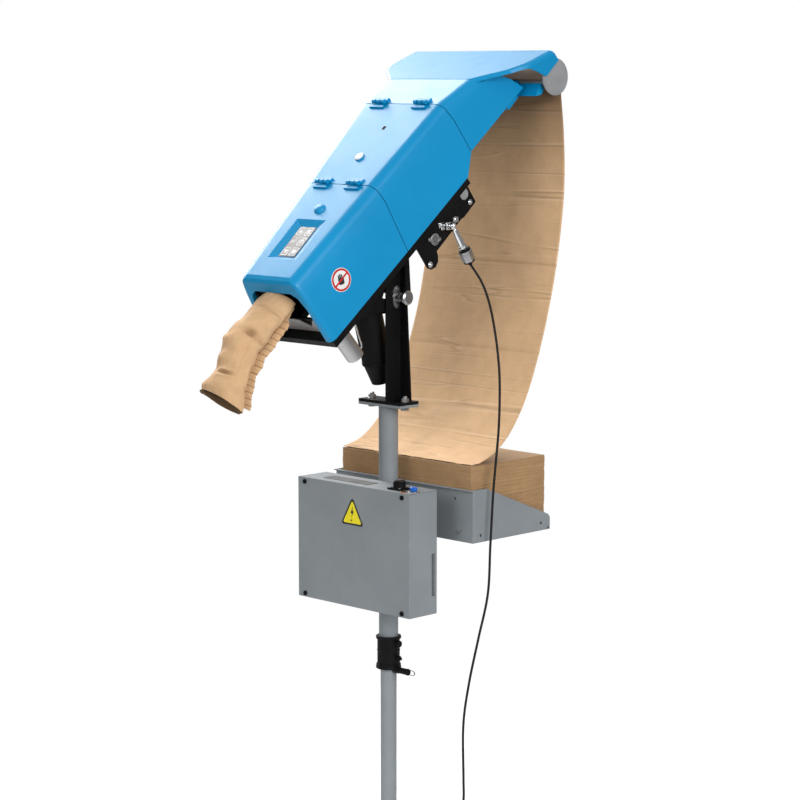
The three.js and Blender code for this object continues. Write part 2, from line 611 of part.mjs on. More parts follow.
function collar() {
  const { bottom, top, radius, rim, pinZ } = COLLAR;
  const sleeve = barZ(0, 0, bottom, top, radius, 28);
  const rims = [bottom, top - 6].map((z) => barZ(0, 0, z, z + 6, rim, 28));
  const pinBoss = barX(17, 31, 0, pinZ, 7.5, 16);
  const screwBosses = COLLAR.screws.map((z) => barX(20, 26.5, 0, z, 5.5, 14));
  const bores = [
    barZ(0, 0, POLE.bottom - GAP, top + 5, POLE.outer / 2 + GAP, 32),
    barZ(0, 0, pinZ - 20, POLE.bottom, POLE.inner / 2 + 0.4, 32),
    barX(0, 50, 0, pinZ, 4 + GAP, 12),
    ...COLLAR.screws.map((z) => barX(15, 40, 0, z, 2.6 + GAP, 10)),
  ];
  return cut(join(sleeve, ...rims, pinBoss, ...screwBosses), ...bores);
}

// A thumb screw that presses on the upper pole through the collar; the lower one has a stud.
function clampScrew(z) {
  const lower = z === COLLAR.screws[0];
  const head = barX(26.8, 33, 0, z, lower ? 5.5 : 7, 18);
  const stud = barX(32, lower ? 38 : 33.5, 0, z, 2.6, 10);
  return join(barX(20.6, 27, 0, z, 2.6, 10), head, stud);
}

// A pull pin with its ring.
function heightPin() {
  const z = COLLAR.pinZ;
  const pin = barX(13, 34, 0, z, 4, 12);
  const grip = barX(31.5, 55, 0, z, 6, 18);
  const end = barX(54, 58.5, 0, z, 7, 18);
  const ring = new THREE.TorusGeometry(9.5, 1, 8, 24);
  const wire = solid(ring.rotateX(Math.PI / 2).scale(1, 1, 0.55).translate(67.5, 0, z));
  return join(pin, grip, end, wire);
}

function poleClamps() {
  const bands = [760, 880].map((z) => barZ(0, 0, z, z + 24, 24.3, 28));
  const boxSide = block(-60, 60, BOX.back + GAP, -20.8, 740, 920);
  const traySide = block(-60, 60, 22, 27, 840, 920);
  const arms = [-45, 45].map((x) => block(x - 2.5, x + 2.5, 26, TRAY.front - GAP, 840, 920));
  const bore = barZ(0, 0, 700, 1000, POLE.outer / 2 + GAP, 32);
  return cut(join(...bands, boxSide, traySide, ...arms), bore);
}

// ---- control box ----------------------------------------------------------------------------
function boxTub() {
  const { width, depth, back, top, height, sheet, lip } = BOX;
  const [x, y0, z0] = [width / 2 - sheet - GAP, back - lip, top - height];
  const outside = block(-x, x, y0, back, z0 + sheet + GAP, top);
  const inside = block(-x + sheet, x - sheet, y0 - 1, back - sheet, z0 + 2 * sheet + GAP, top - sheet);
  const vents = [];
  for (let row = 0; row < 19; row += 1) {
    const z = z0 + 38 + row * 4.6;
    vents.push(block(x - 4, x + 4, back - 13, back - 6, z, z + 2.4));
  }
  const switchHole = barZ(SWITCH.x, SWITCH.y, top - 5, top + 5, 9, 16);
  const buttonHole = barZ(BUTTON.x, BUTTON.y, top - 5, top + 5, 6.5, 12);
  const ears = [-1, 1].flatMap((s) => [z0 + 12, top - 14].map((z) =>
    block(...[s * (x - 14), s * x].sort((a, b) => a - b), y0, y0 + 4, z - 6, z + 6)));
  return cut(join(cut(outside, inside), ...ears), ...vents, switchHole, buttonHole);
}

function boxCover() {
  const { width, depth, back, top, height, sheet, lip } = BOX;
  const [x, front, z0] = [width / 2, back - depth, top - height];
  const outside = block(-x, x, front, back, z0, top - sheet - GAP);
  const inside = block(-x + sheet, x - sheet, front + sheet, back + 1, z0 + sheet, top);
  const face = block(-x, x, front, front + sheet, z0, top);
  const topLip = block(-x + sheet, x - sheet, front, back - lip - GAP, top - sheet, top);
  const vents = block(x - 4, x + 4, back - 14.5, back - 4.5, z0 + 36.5, z0 + 124.5);
  const holes = screwPlaces().map(([sx, sz]) => bar([sx, front - 5, sz], [sx, front + 5, sz], 3, 10));
  return cut(join(cut(outside, inside), face, topLip), vents, ...holes);
}

function screwPlaces() {
  const [x, z0, z1] = [BOX.width / 2 - 21, BOX.top - BOX.height + 8, BOX.top - 9];
  return [[-x, z1], [x, z1], [-x, z0], [x, z0]];
}

function boxScrew([x, z]) {
  const front = BOX.back - BOX.depth;
  const head = bar([x, front - 2.8, z], [x, front - GAP, z], 5, 14);
  return join(head, bar([x, front - 1, z], [x, front + 10.5, z], 2.4, 10));
}

function switchPlate() {
  const { x, y } = SWITCH;
  const plate = block(x - 18, x + 18, y - 17, y + 17, BOX.top + GAP, BOX.top + 4);
  return cut(plate, barZ(x, y, BOX.top - 5, BOX.top + 9, 6 + GAP, 16));
}

function switchKnob() {
  const top = BOX.top + 4 + GAP;
  const { x, y } = SWITCH;
  const shaft = barZ(x, y, BOX.top - 12, top + 1, 6, 16);
  const skirt = barZ(x, y, top, top + 5, 13, 20, 12);
  const grip = block(x - 3.5, x + 3.5, y - 12, y + 12, top + 4, top + 14);
  return join(shaft, skirt, grip);
}

function resetButton() {
  const top = BOX.top;
  const { x, y } = BUTTON;
  return join(barZ(x, y, top - 8, top + 6, 6, 14), barZ(x, y, top + 3, top + 9, 8, 16));
}

function powerSupply() {
  return block(-130, -20, -70, BOX.back - BOX.sheet - GAP, 710, 800);
}

function controlBoard() {
  const board = block(0, 130, -38, -36, 715, 900);
  const chips = [[20, 60, 730, 770], [70, 110, 740, 760], [20, 50, 800, 880], [70, 120, 820, 870]];
  const posts = [[8, 722], [122, 722], [8, 893], [122, 893]].map(([x, z]) =>
    bar([x, -37, z], [x, BOX.back - BOX.sheet - GAP, z], 3, 8));
  return join(board, ...chips.map(([x0, x1, z0, z1]) => block(x0, x1, -50, -37.5, z0, z1)), ...posts);
}

// ---- tray, post, foot switch ----------------------------------------------------------------
function paperTray() {
  const { width, front, depth, top, height, sheet } = TRAY;
  const half = width / 2;
  const rear = front + depth;
  const z0 = top - height;
  const side = [[front, z0], [rear - 16, z0], [rear, z0 + 8], [rear, z0 + 26], [rear - 6, z0 + 33],
    [front + 40, top], [front, top]];
  const sides = [-1, 1].map((s) => {
    const [x0, x1] = [s * (half - sheet), s * half].sort((a, b) => a - b);
    return plateX(side, x0, x1);
  });
  const floor = block(-half, half, front, rear, z0, z0 + sheet);
  const frontWall = block(-half, half, front, front + sheet, z0, top);
  const rim = block(-half, half, front - 7, front + sheet, top - sheet, top);
  const stop = block(-half, half, rear - sheet, rear, z0, z0 + 14);
  const holes = [[rear - 28, z0 + 16], [front + 24, z0 + 14]].map(([y, z]) =>
    barX(-half - 5, half + 5, y, z, 3, 10));
  const body = join(...sides, floor, frontWall, rim, stop);
  const faceHoles = [-1, 1].map((s) => bar([s * 150, front - 9, top - 22], [s * 150, front + 9, top - 22], 3, 10));
  return cut(body, ...holes, ...faceHoles);
}

function post() {
  const { width, depth, top, thick } = PLATE;
  const plate = block(-width / 2, width / 2, -depth / 2, depth / 2, top - thick, top);
  const web = plateX([[-27, top - 1], [16, top - 1], [16, 1398], [8, 1412], [-18, 1412], [-27, 1398]], 18, 21);
  const flange = plateY([[18, top - 1], [52, top - 1], [36, 1385], [30, 1392], [18, 1392]], 13, 16);
  const holes = [
    ...[-1, 1].map((s) => barZ(s * PLATE.boltX, 0, top - 20, top + 20, PLATE.boltRadius + GAP, 12)),
    barX(10, 30, PIVOT.y, PIVOT.z, 8 + GAP, 16),
    barX(10, 30, PIVOT.pinY, PIVOT.pinZ, PIVOT.pinRadius + GAP, 12),
  ];
  return cut(join(plate, web, flange), ...holes);
}

function plateBolt(x) {
  const { top, thick } = PLATE;
  const under = top - thick - 5 - GAP;
  const head = barZ(x, 0, under - 7, under - 0.5 - GAP, 8.5, 6);
  const nut = barZ(x, 0, top + GAP, top + 7, 8.5, 6);
  return join(head, nut, barZ(x, 0, under - 1.5, top + 11, PLATE.boltRadius, 12));
}

function pivotBolt() {
  const { y, z } = PIVOT;
  return join(barX(9.4, 24, y, z, 8, 16), barX(21 + GAP, 29, y, z, 13, 6), barX(8, 12.6, y, z, 12, 16));
}

function pinFlange() {
  const { pinY, pinZ, pinRadius } = PIVOT;
  const outline = [];
  for (let i = 0; i < 20; i += 1) {
    const angle = 2 * Math.PI * i / 20;
    outline.push([pinY + 11 * Math.cos(angle), pinZ + 24 * Math.sin(angle)]);
  }
  const flange = plateX(outline, 21 + GAP, 25);
  const barrel = barX(24, 36, pinY, pinZ, 9, 16);
  const screws = [-17, 17].map((dz) => barX(24, 27, pinY, pinZ + dz, 3.5, 8));
  return cut(join(flange, barrel, ...screws), barX(10, 50, pinY, pinZ, pinRadius + GAP, 12));
}

function tiltPin() {
  const { pinY, pinZ, pinRadius } = PIVOT;
  const profile = [[12, 0], [12, pinRadius], [37, pinRadius], [37, 7], [46, 7], [52, 15], [57, 15],
    [60, 11], [60, 0]];
  return turnedX(profile, pinY, pinZ, 20);
}

function pedalHousing() {
  const base = block(160, 240, -205, -92, 6, 14);
  const sides = [-1, 1].map((s) => plateX([[-205, 10], [-92, 10], [-92, 44], [-120, 52], [-205, 24]],
    ...(s < 0 ? [160, 165] : [235, 240])));
  const rear = block(160, 240, -97, -92, 10, 44);
  const pads = block(164, 236, -200, -97, 0, 6.5);
  const gland = bar([200, -98, 34], [200, -91.9, 34], 6, 12);
  const pivotHoles = barX(150, 250, -108, 34, 4 + GAP, 12);
  return cut(join(base, ...sides, rear, pads, gland), pivotHoles);
}

function pedalTreadle() {
  const plate = plateX([[-202, 28], [-202, 33], [-130, 46], [-108, 41], [-101, 36], [-103, 27],
    [-112, 27]], 166, 234);
  return join(plate, barX(161, 239, -108, 34, 4, 12));
}

// ---- assembly -------------------------------------------------------------------------------
const machine = new THREE.Group();
machine.name = 'void_fill_converter';
const head = new THREE.Group();
head.name = 'head_group';
head.position.set(0, HEAD.y, HEAD.z);
head.rotation.x = HEAD.tilt * Math.PI / 180;
machine.add(head);

function add(parent, name, body, finishName) {
  const geometry = body.isBufferGeometry ? body : geometryOf(body);
  const mesh = new THREE.Mesh(geometry, finish(finishName));
  mesh.name = name;
  parent.add(mesh);
}

function addCord(name, from, to) {
  const route = new THREE.CatmullRomCurve3(CORD_ROUTE);
  const points = [];
  for (let i = 0; i <= 40; i += 1) points.push(route.getPointAt(from + (to - from) * i / 40));
  const stretch = new THREE.CatmullRomCurve3(points);
  add(machine, name, solid(tubeAlong(stretch, CORD.radius, 40, 8)), 'rubber');
}

add(machine, 'base_frame', baseFrame(), 'greyPaint');
[[-1, -1], [1, -1], [-1, 1], [1, 1]].forEach(([sx, sy], i) =>
  add(machine, `base_foot_${i + 1}`, foot(sx * BASE.halfX, sy * (BASE.halfY - 30)), 'rubber'));
add(machine, 'base_centre_pad', foot(0, 0), 'rubber');
add(machine, 'lower_pole', lowerPole(), 'greyPaint');
add(machine, 'pedal_housing', pedalHousing(), 'blackPlastic');
add(machine, 'pedal_treadle', pedalTreadle(), 'blackPlastic');
addCord('cord_lower', CORD.join + 0.0006, 1);

add(machine, 'upper_pole', upperPole(), 'greyPaint');
add(machine, 'pole_collar', collar(), 'blackPlastic');
add(machine, 'collar_screw_lower', clampScrew(COLLAR.screws[0]), 'blackPaint');
add(machine, 'collar_screw_upper', clampScrew(COLLAR.screws[1]), 'blackPaint');
add(machine, 'height_pin', heightPin(), 'blackPaint');
add(machine, 'pole_clamps', poleClamps(), 'greyPaint');
add(machine, 'box_tub', boxTub(), 'greyPaint');
add(machine, 'box_cover', boxCover(), 'greyPaint');
screwPlaces().forEach((place, i) => add(machine, `box_screw_${i + 1}`, boxScrew(place), 'blackPaint'));
add(machine, 'switch_plate', switchPlate(), 'blackPlastic');
add(machine, 'switch_knob', switchKnob(), 'blackPlastic');
add(machine, 'reset_button', resetButton(), 'bluePlastic');
add(machine, 'power_supply', powerSupply(), 'steel');
add(machine, 'control_board', controlBoard(), 'board');
add(machine, 'paper_tray', paperTray(), 'greyPaint');
add(machine, 'paper_pack', paperPack(), 'paper');
add(machine, 'paper_web', paperWeb(), 'paper');
add(machine, 'tilt_post', post(), 'blackPaint');
add(machine, 'plate_bolt_left', plateBolt(-PLATE.boltX), 'steel');
add(machine, 'plate_bolt_right', plateBolt(PLATE.boltX), 'steel');
add(machine, 'pivot_bolt', pivotBolt(), 'blackPaint');
add(machine, 'tilt_pin_flange', pinFlange(), 'steel');
add(machine, 'tilt_pin', tiltPin(), 'steel');

add(head, 'chassis', chassis(), 'blackPaint');
add(head, 'tilt_bracket', tiltBracket(), 'blackPaint');
add(head, 'side_plate_left', sidePlate(-1), 'blackPaint');
add(head, 'side_plate_right', sidePlate(1), 'blackPaint');
add(head, 'tie_bar_front', tieBar(330, -193, 9), 'steel');
add(head, 'tie_bar_rear', tieBar(440, -190, 11), 'steel');
add(head, 'rear_hood', rearHood(), 'bluePaint');
add(head, 'paper_guide', paperGuide(), 'bluePaint');
add(head, 'infeed_roller', infeedRoller(), 'greyPlastic');
add(head, 'mid_cover', midCover(), 'bluePaint');
add(head, 'front_cover', frontCover(), 'bluePaint');
add(head, 'keypad', keypad(), 'greyPlastic');
add(head, 'forming_chute', formingChute(), 'steel');
add(head, 'feed_wheel_lower', feedWheel(WHEEL.nip - WHEEL.pitch, 0.5), 'steel');
add(head, 'feed_wheel_upper', feedWheel(WHEEL.nip + WHEEL.pitch, 0), 'steel');
add(head, 'cutter_frame', cutterFrame(), 'blackPaint');
add(head, 'cutter_blade', cutterBlade(), 'steel');
add(head, 'cutter_motor', cutterMotor(), 'steel');
add(head, 'wire_bail', wireBail(), 'chrome');
add(machine, 'drive_motor', driveMotor(), 'blackPaint');
add(machine, 'cable_stem', cableStem(), 'chrome');
add(machine, 'cable_block', cableBlock(), 'steel');
add(machine, 'paper_tube', paperTube(), 'paper');
addCord('cord_upper', 0, CORD.join);

export default machine;
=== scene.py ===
import json
import math
import random

import bmesh
import bpy
from mathutils import Matrix, Vector, noise


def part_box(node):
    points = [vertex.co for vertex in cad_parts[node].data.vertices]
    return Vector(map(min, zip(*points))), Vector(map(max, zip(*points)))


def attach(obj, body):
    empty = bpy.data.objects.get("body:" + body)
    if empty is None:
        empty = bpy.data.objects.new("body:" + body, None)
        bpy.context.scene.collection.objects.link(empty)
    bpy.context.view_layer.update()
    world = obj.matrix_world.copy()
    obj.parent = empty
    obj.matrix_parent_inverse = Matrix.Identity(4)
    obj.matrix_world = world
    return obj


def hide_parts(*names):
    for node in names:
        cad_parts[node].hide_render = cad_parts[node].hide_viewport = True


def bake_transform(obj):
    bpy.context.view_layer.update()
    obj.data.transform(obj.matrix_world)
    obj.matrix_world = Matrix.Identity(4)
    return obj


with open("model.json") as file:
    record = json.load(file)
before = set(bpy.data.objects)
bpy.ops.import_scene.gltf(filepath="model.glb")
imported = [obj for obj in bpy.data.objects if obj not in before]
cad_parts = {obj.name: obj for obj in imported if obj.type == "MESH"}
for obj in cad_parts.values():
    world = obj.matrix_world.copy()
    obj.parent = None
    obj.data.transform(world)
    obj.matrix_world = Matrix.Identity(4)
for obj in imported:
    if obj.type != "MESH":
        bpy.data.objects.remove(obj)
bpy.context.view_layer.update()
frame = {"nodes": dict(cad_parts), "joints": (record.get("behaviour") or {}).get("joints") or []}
random.seed(7)

MM = 0.001
JOINTS = {joint["name"]: joint for joint in frame["joints"]}


# ---- camera: fitted to the corners of the box, the pack, the tray and the head ---------------
CAMERA_PLACE = (3.5379, -3.5200, 1.7744)
CAMERA_DOWN = 7.595  # degrees below level
CAMERA_TURN = 44.87
CAMERA_LENS = 109.31  # mm, on a sensor 36 mm wide


def make_camera():
    data = bpy.data.cameras.new("camera")
    data.sensor_width = 36.0
    data.lens = CAMERA_LENS
    data.clip_end = 100.0
    camera = bpy.data.objects.new("camera", data)
    camera.location = CAMERA_PLACE
    camera.rotation_euler = (math.radians(90 - CAMERA_DOWN), 0, math.radians(CAMERA_TURN))
    bpy.context.scene.collection.objects.link(camera)
    bpy.context.scene.camera = camera


make_camera()

# ---- the head's own frame: x across, u from the outlet to the rear, v up from the top sheet ---
LOWER_SEAM = 268 * MM
HINGE_RISE = 6 * MM
AXIS_X = Vector((1, 0, 0))
LOWER_HINGE = Vector(JOINTS["outlet_cover_hinge"]["pos_m"])
UPPER_HINGE = Vector(JOINTS["middle_cover_hinge"]["pos_m"])
AXIS_U = (UPPER_HINGE - LOWER_HINGE).normalized()
AXIS_V = AXIS_X.cross(AXIS_U)
HEAD_ORIGIN = LOWER_HINGE - AXIS_U * LOWER_SEAM - AXIS_V * HINGE_RISE
HEAD_ORIGIN.x = 0
HEAD = Matrix((
    (AXIS_X.x * MM, AXIS_U.x * MM, AXIS_V.x * MM, HEAD_ORIGIN.x),
    (AXIS_X.y * MM, AXIS_U.y * MM, AXIS_V.y * MM, HEAD_ORIGIN.y),
    (AXIS_X.z * MM, AXIS_U.z * MM, AXIS_V.z * MM, HEAD_ORIGIN.z),
    (0, 0, 0, 1)))
WORLD = Matrix.Scale(MM, 4)


def cover_half(u, v):
    """Half the head's width at a place on its side."""
    return 102 + 0.07 * u - 0.12 * (v + 155)


# ---- materials ------------------------------------------------------------------------------
class Nodes:
    """Short ways to add nodes to a material's or the world's tree."""

    def __init__(self, tree):
        self.tree = tree

    def feed(self, socket, value):
        """Links another node's output to a socket, or sets the socket's own value."""
        if isinstance(value, bpy.types.NodeSocket):
            self.tree.links.new(value, socket)
        elif isinstance(value, tuple) and len(socket.default_value) > len(value):
            socket.default_value = (*value, 1)
        else:
            socket.default_value = value

    def node(self, kind, **values):
        """A new node: each value goes to the input of that name, or else to the setting."""
        made = self.tree.nodes.new("ShaderNode" + kind)
        for key, value in values.items():
            label = key.replace("_", " ")
            if label in made.inputs:
                self.feed(made.inputs[label], value)
            else:
                setattr(made, key, value)
        return made


class Shader(Nodes):
    """One Principled material."""

    def __init__(self, name, **inputs):
        self.material = bpy.data.materials.new(name)
        self.material.use_nodes = True
        super().__init__(self.material.node_tree)
        self.surface = self.tree.nodes["Principled BSDF"]
        self.where = self.node("TexCoord").outputs["Object"]
        self.use(**inputs)

    def use(self, **inputs):
        for key, value in inputs.items():
            self.feed(self.surface.inputs[key.replace("_", " ")], value)
        return self.material

    def noise(self, scale, detail=3.0, rough=0.55, stretch=None):
        made = self.node("TexNoise", Scale=scale, Detail=detail, Roughness=rough)
        place = self.where
        if stretch:
            place = self.node("Mapping", Scale=stretch, Vector=self.where).outputs["Vector"]
        self.feed(made.inputs["Vector"], place)
        return made.outputs["Fac"]

    def cells(self, scale):
        return self.node("TexVoronoi", Scale=scale, Vector=self.where).outputs["Distance"]

    def ramp(self, value, stops):
        made = self.node("ValToRGB", Fac=value)
        elements = made.color_ramp.elements
        while len(elements) < len(stops):
            elements.new(0.5)
        for element, (position, colour) in zip(elements, stops):
            element.position = position
            element.color = (*colour, 1)
        return made.outputs["Color"]

    def span(self, value, low, high, start=0.3, end=0.7):
        """Maps start..end onto low..high, and holds what lies outside."""
        made = self.node("MapRange", Value=value, From_Min=start, From_Max=end, To_Min=low, To_Max=high)
        return made.outputs["Result"]

    def blend(self, factor, first, second):
        made = self.node("Mix", data_type="RGBA", Factor=factor)
        self.feed(made.inputs[6], first)
        self.feed(made.inputs[7], second)
        return made.outputs[2]

    def maths(self, operation, first, second=0.0):
        made = self.node("Math", operation=operation)
        self.feed(made.inputs[0], first)
        self.feed(made.inputs[1], second)
        return made.outputs[0]

    def soft_edges(self, radius):
        return self.node("Bevel", samples=4, Radius=radius).outputs["Normal"]

    def edge_mask(self, radius):
        """1 on edges, 0 on flats: the rounded normal against the face's own."""
        product = self.node("VectorMath", operation="DOT_PRODUCT")
        self.feed(product.inputs[0], self.soft_edges(radius))
        self.feed(product.inputs[1], self.node("NewGeometry").outputs["Normal"])
        return self.span(product.outputs["Value"], 0.0, 1.0, 0.985, 0.9)

    def bump(self, height, strength, depth, under=None):
        made = self.node("Bump", Strength=strength, Distance=depth, Height=height)
        if under is not None:
            self.feed(made.inputs["Normal"], under)
        return made.outputs["Normal"]


def paint(name, dark, light, worn, roughness, grain, grain_depth, specular, peel=0.0, edge=0.0012):
    """Sprayed or powder-coated metal: a fine skin, a slow drift in shade, rubbed edges."""
    s = Shader(name, Specular_IOR_Level=specular)
    colour = s.ramp(s.noise(7, 4, 0.6), [(0.3, dark), (0.7, light)])
    rub = s.maths("MULTIPLY", s.edge_mask(edge), s.span(s.noise(60, 5), 0.0, 0.6, 0.42, 0.66))
    colour = s.blend(rub, colour, worn)
    normal = s.bump(s.noise(grain, 3, 0.6), 0.35, grain_depth, s.soft_edges(edge))
    if peel:
        normal = s.bump(s.noise(peel, 2, 0.4), 0.25, 0.0002, normal)
    smudge = s.span(s.noise(22, 5, 0.65), *roughness)
    return s.use(Base_Color=colour, Roughness=smudge, Normal=normal)


def metal(name, dark, light, roughness, scale, stretch=None, depth=0.00004, edge=0.0006):
    """Bare metal, with brushed lines where the noise is stretched."""
    s = Shader(name, Metallic=1.0)
    lines = s.noise(scale, 4, 0.6, stretch)
    colour = s.ramp(s.noise(18, 4), [(0.3, dark), (0.7, light)])
    normal = s.bump(lines, 0.3, depth, s.soft_edges(edge))
    return s.use(Base_Color=colour, Roughness=s.span(lines, *roughness), Normal=normal)


def moulded(name, dark, light, roughness, grain=1800, depth=0.00012, coat=0.0, edge=0.0008, specular=0.5):
    """Plastic, rubber and film: a pebbled skin."""
    s = Shader(name, Coat_Weight=coat, Coat_Roughness=0.08, Specular_IOR_Level=specular)
    colour = s.ramp(s.noise(25, 4), [(0.3, dark), (0.7, light)])
    skin = s.maths("ADD", s.noise(grain, 2), s.cells(grain * 0.7))
    normal = s.bump(skin, 0.25, depth, s.soft_edges(edge))
    return s.use(Base_Color=colour, Roughness=s.span(s.noise(40, 4), *roughness), Normal=normal)


def kraft(name, shades, lines=0.0, wrinkles=False, crease=False):
    """Unbleached paper: long fibres, small flecks and a faint cloudy formation."""
    deep, middle, light, fibre_and_shade, _ = shades
    s = Shader(name, Sheen_Weight=0.06, Specular_IOR_Level=0.2)
    cloud = s.noise(24, 5, 0.6)
    fibres = s.noise(900, 4, 0.65, (1.0, 1.0, 0.12))
    across = s.noise(700, 3, 0.6, (0.14, 1.0, 1.0))
    colour = s.ramp(cloud, [(0.3, deep), (0.5, middle), (0.72, light)])
    colour = s.blend(s.span(fibres, 0.0, 0.22, 0.5, 0.8), colour, fibre_and_shade)
    colour = s.blend(s.span(across, 0.0, 0.18, 0.5, 0.8), colour, light)
    normal = s.bump(s.maths("ADD", fibres, across), 0.3, 0.0001)
    if lines:
        band = s.noise(lines, 4, 0.7, (0.004, 0.004, 1.0))
        colour = s.blend(s.span(band, 0.42, 0.0, 0.34, 0.56), colour, fibre_and_shade)
        normal = s.bump(band, 0.5, 0.0004, normal)
    if wrinkles:
        colour, normal = wrinkled(s, colour, normal, shades)
    # The mark read from the mesh blends towards the fibre shade. It gives a darker line at each web fold, and
    # painted shade in the tube's dents, beside its seam, between the strip's pleats and under the hood.
    if crease:
        mark = s.node("Attribute", attribute_name="crease").outputs["Fac"]
        colour = s.blend(s.span(mark, 0.0, 0.9, 0.0, 1.0), colour, fibre_and_shade)
    return s.use(Base_Color=colour, Roughness=s.span(cloud, 0.74, 0.9), Normal=normal)


# Two sizes of wrinkle: noise scale across and along the paper, and how strong its painted highlight and shadow
# lines are.
WRINKLES = ((0.7, 15.0, 0.34), (1.6, 33.0, 0.20))


def wrinkled(s, colour, normal, shades):
    """Broken lines across the running paper: where a slow noise passes a level, a painted highlight beside a
    painted shadow line, over a bump.
    """
    split = s.node("SeparateXYZ", Vector=s.where)
    run = s.node("Attribute", attribute_name="run").outputs["Fac"]
    place = s.node("CombineXYZ", X=split.outputs["X"], Y=run).outputs["Vector"]
    for number, (wide, along, strength) in enumerate(WRINKLES):
        fold = s.node("Mapping", Scale=(wide, along, 1.0), Location=(3.0 * number, 0.7, 0.0), Vector=place)
        waves = s.node("TexNoise", Scale=1.0, Detail=1.0, Roughness=0.4, Vector=fold.outputs["Vector"])
        ridge = waves.outputs["Fac"]
        patch = s.span(s.noise(5 + 4 * number, 2, 0.5), 0.15, 1.0, 0.42, 0.58)
        # Each line: level, width and colour. The crest colour paints a highlight and the fibre colour paints a
        # shadow.
        for level, width, shade in ((0.489, 0.014, shades[4]), (0.47, 0.012, shades[3])):
            away = s.maths("ABSOLUTE", s.maths("SUBTRACT", ridge, level))
            line = s.span(away, strength, 0.0, 0.002, width)
            colour = s.blend(s.maths("MULTIPLY", line, patch), colour, shade)
        normal = s.bump(ridge, 0.5, 0.001, normal)
    return colour, normal


def circuit(name):
    s = Shader(name, Coat_Weight=0.4, Coat_Roughness=0.1)
    tracks = s.node("TexBrick", offset=0.35, Scale=90, Mortar_Size=0.03, Color1=(0.012, 0.10, 0.04),
                    Color2=(0.016, 0.13, 0.05), Mortar=(0.10, 0.32, 0.12), Vector=s.where)
    normal = s.bump(s.noise(600), 0.3, 0.0001, s.soft_edges(0.0005))
    return s.use(Base_Color=tracks.outputs["Color"], Roughness=s.span(s.noise(60), 0.3, 0.5), Normal=normal)


# Each kraft: deep, middle and light shades, the shade of its fibres and creases, which also carries painted
# shade, and the painted highlight on wrinkle crests.
# KRAFT is the paper's own colour. The others are copies of it, made lighter or darker by where the paper lies,
# so they paint light and shade. KRAFT_WEB is lighter, and its crease shade is far darker for the painted shade
# under the hood. KRAFT_DEEP (the pack's sides), KRAFT_TOP (its top sheet) and KRAFT_INSIDE (inside the tube)
# are darker.
KRAFT = [(0.545, 0.345, 0.186), (0.60, 0.385, 0.210), (0.655, 0.425, 0.235),
         (0.235, 0.125, 0.055), (0.80, 0.60, 0.39)]
KRAFT_DEEP = [(0.36, 0.222, 0.110), (0.41, 0.252, 0.127), (0.46, 0.286, 0.146),
              (0.24, 0.135, 0.062), (0.62, 0.42, 0.25)]
KRAFT_WEB = [(0.60, 0.385, 0.212), (0.655, 0.425, 0.236), (0.71, 0.465, 0.262),
             (0.13, 0.072, 0.034), (0.86, 0.66, 0.45)]
KRAFT_TOP = [(0.40, 0.255, 0.14), (0.44, 0.285, 0.158), (0.49, 0.32, 0.178),
             (0.20, 0.11, 0.05), (0.6, 0.4, 0.25)]
KRAFT_INSIDE = [(0.14, 0.085, 0.045), (0.17, 0.105, 0.055), (0.20, 0.125, 0.065),
                (0.07, 0.04, 0.02), (0.25, 0.16, 0.09)]
BRUSHED = (1.0, 1.0, 0.05)

LOOKS = {
    "blue": paint("blue_satin_paint", (0.0005, 0.240, 0.500), (0.0008, 0.262, 0.540),
                  (0.06, 0.45, 0.72), (0.34, 0.42), 1400, 0.00005, 0.32, peel=240),
    "grey": paint("grey_powder_coat", (0.205, 0.226, 0.242), (0.245, 0.268, 0.284),
                  (0.42, 0.44, 0.45), (0.46, 0.6), 1500, 0.0002, 0.4, edge=0.0022),
    "black": paint("black_powder_coat", (0.0035, 0.0035, 0.0038), (0.0065, 0.0065, 0.007),
                   (0.035, 0.035, 0.037), (0.40, 0.56), 900, 0.00035, 0.12),
    "steel": metal("brushed_steel", (0.36, 0.365, 0.375), (0.47, 0.47, 0.48), (0.26, 0.42), 900, BRUSHED),
    "dull_steel": metal("dull_steel", (0.42, 0.42, 0.425), (0.50, 0.50, 0.505), (0.34, 0.48), 900, BRUSHED),
    "chrome": metal("bright_chrome", (0.72, 0.73, 0.75), (0.82, 0.83, 0.85), (0.05, 0.14), 120,
                    depth=0.00001),
    "copper": metal("copper_wire", (0.50, 0.22, 0.10), (0.62, 0.30, 0.15), (0.25, 0.4), 300),
    "bright_plate": moulded("satin_plate", (0.33, 0.33, 0.335), (0.40, 0.40, 0.405),
                            (0.34, 0.46), 500, 0.00005),
    "rubber": moulded("matt_rubber", (0.004, 0.004, 0.004), (0.008, 0.008, 0.008),
                      (0.5, 0.7), 700, 0.0001, specular=0.25),
    "black_plastic": moulded("black_moulded_plastic", (0.005, 0.005, 0.0055), (0.007, 0.007, 0.0075),
                             (0.34, 0.5), specular=0.12),
    "grey_plastic": moulded("grey_moulded_plastic", (0.25, 0.255, 0.265), (0.32, 0.325, 0.335),
                            (0.36, 0.52), 900, 0.0002),
    "blue_plastic": moulded("blue_moulded_plastic", (0.005, 0.10, 0.50), (0.01, 0.14, 0.60),
                            (0.18, 0.28), 600, 0.00004, coat=0.5),
    "ink": moulded("dark_ink", (0.012, 0.012, 0.013), (0.02, 0.02, 0.022), (0.4, 0.5), 900, 0.00003),
    "board": circuit("circuit_board"),
    "paper": kraft("kraft_paper", KRAFT, crease=True),
    "paper_web": kraft("kraft_running_paper", KRAFT_WEB, wrinkles=True, crease=True),
    "paper_inside": kraft("kraft_paper_in_shade", KRAFT_INSIDE),
    "pack_top": kraft("kraft_top_sheet", KRAFT_TOP, crease=True),
    "pack_side": kraft("kraft_fanfold_edges", KRAFT_DEEP, lines=900.0, crease=True),
}
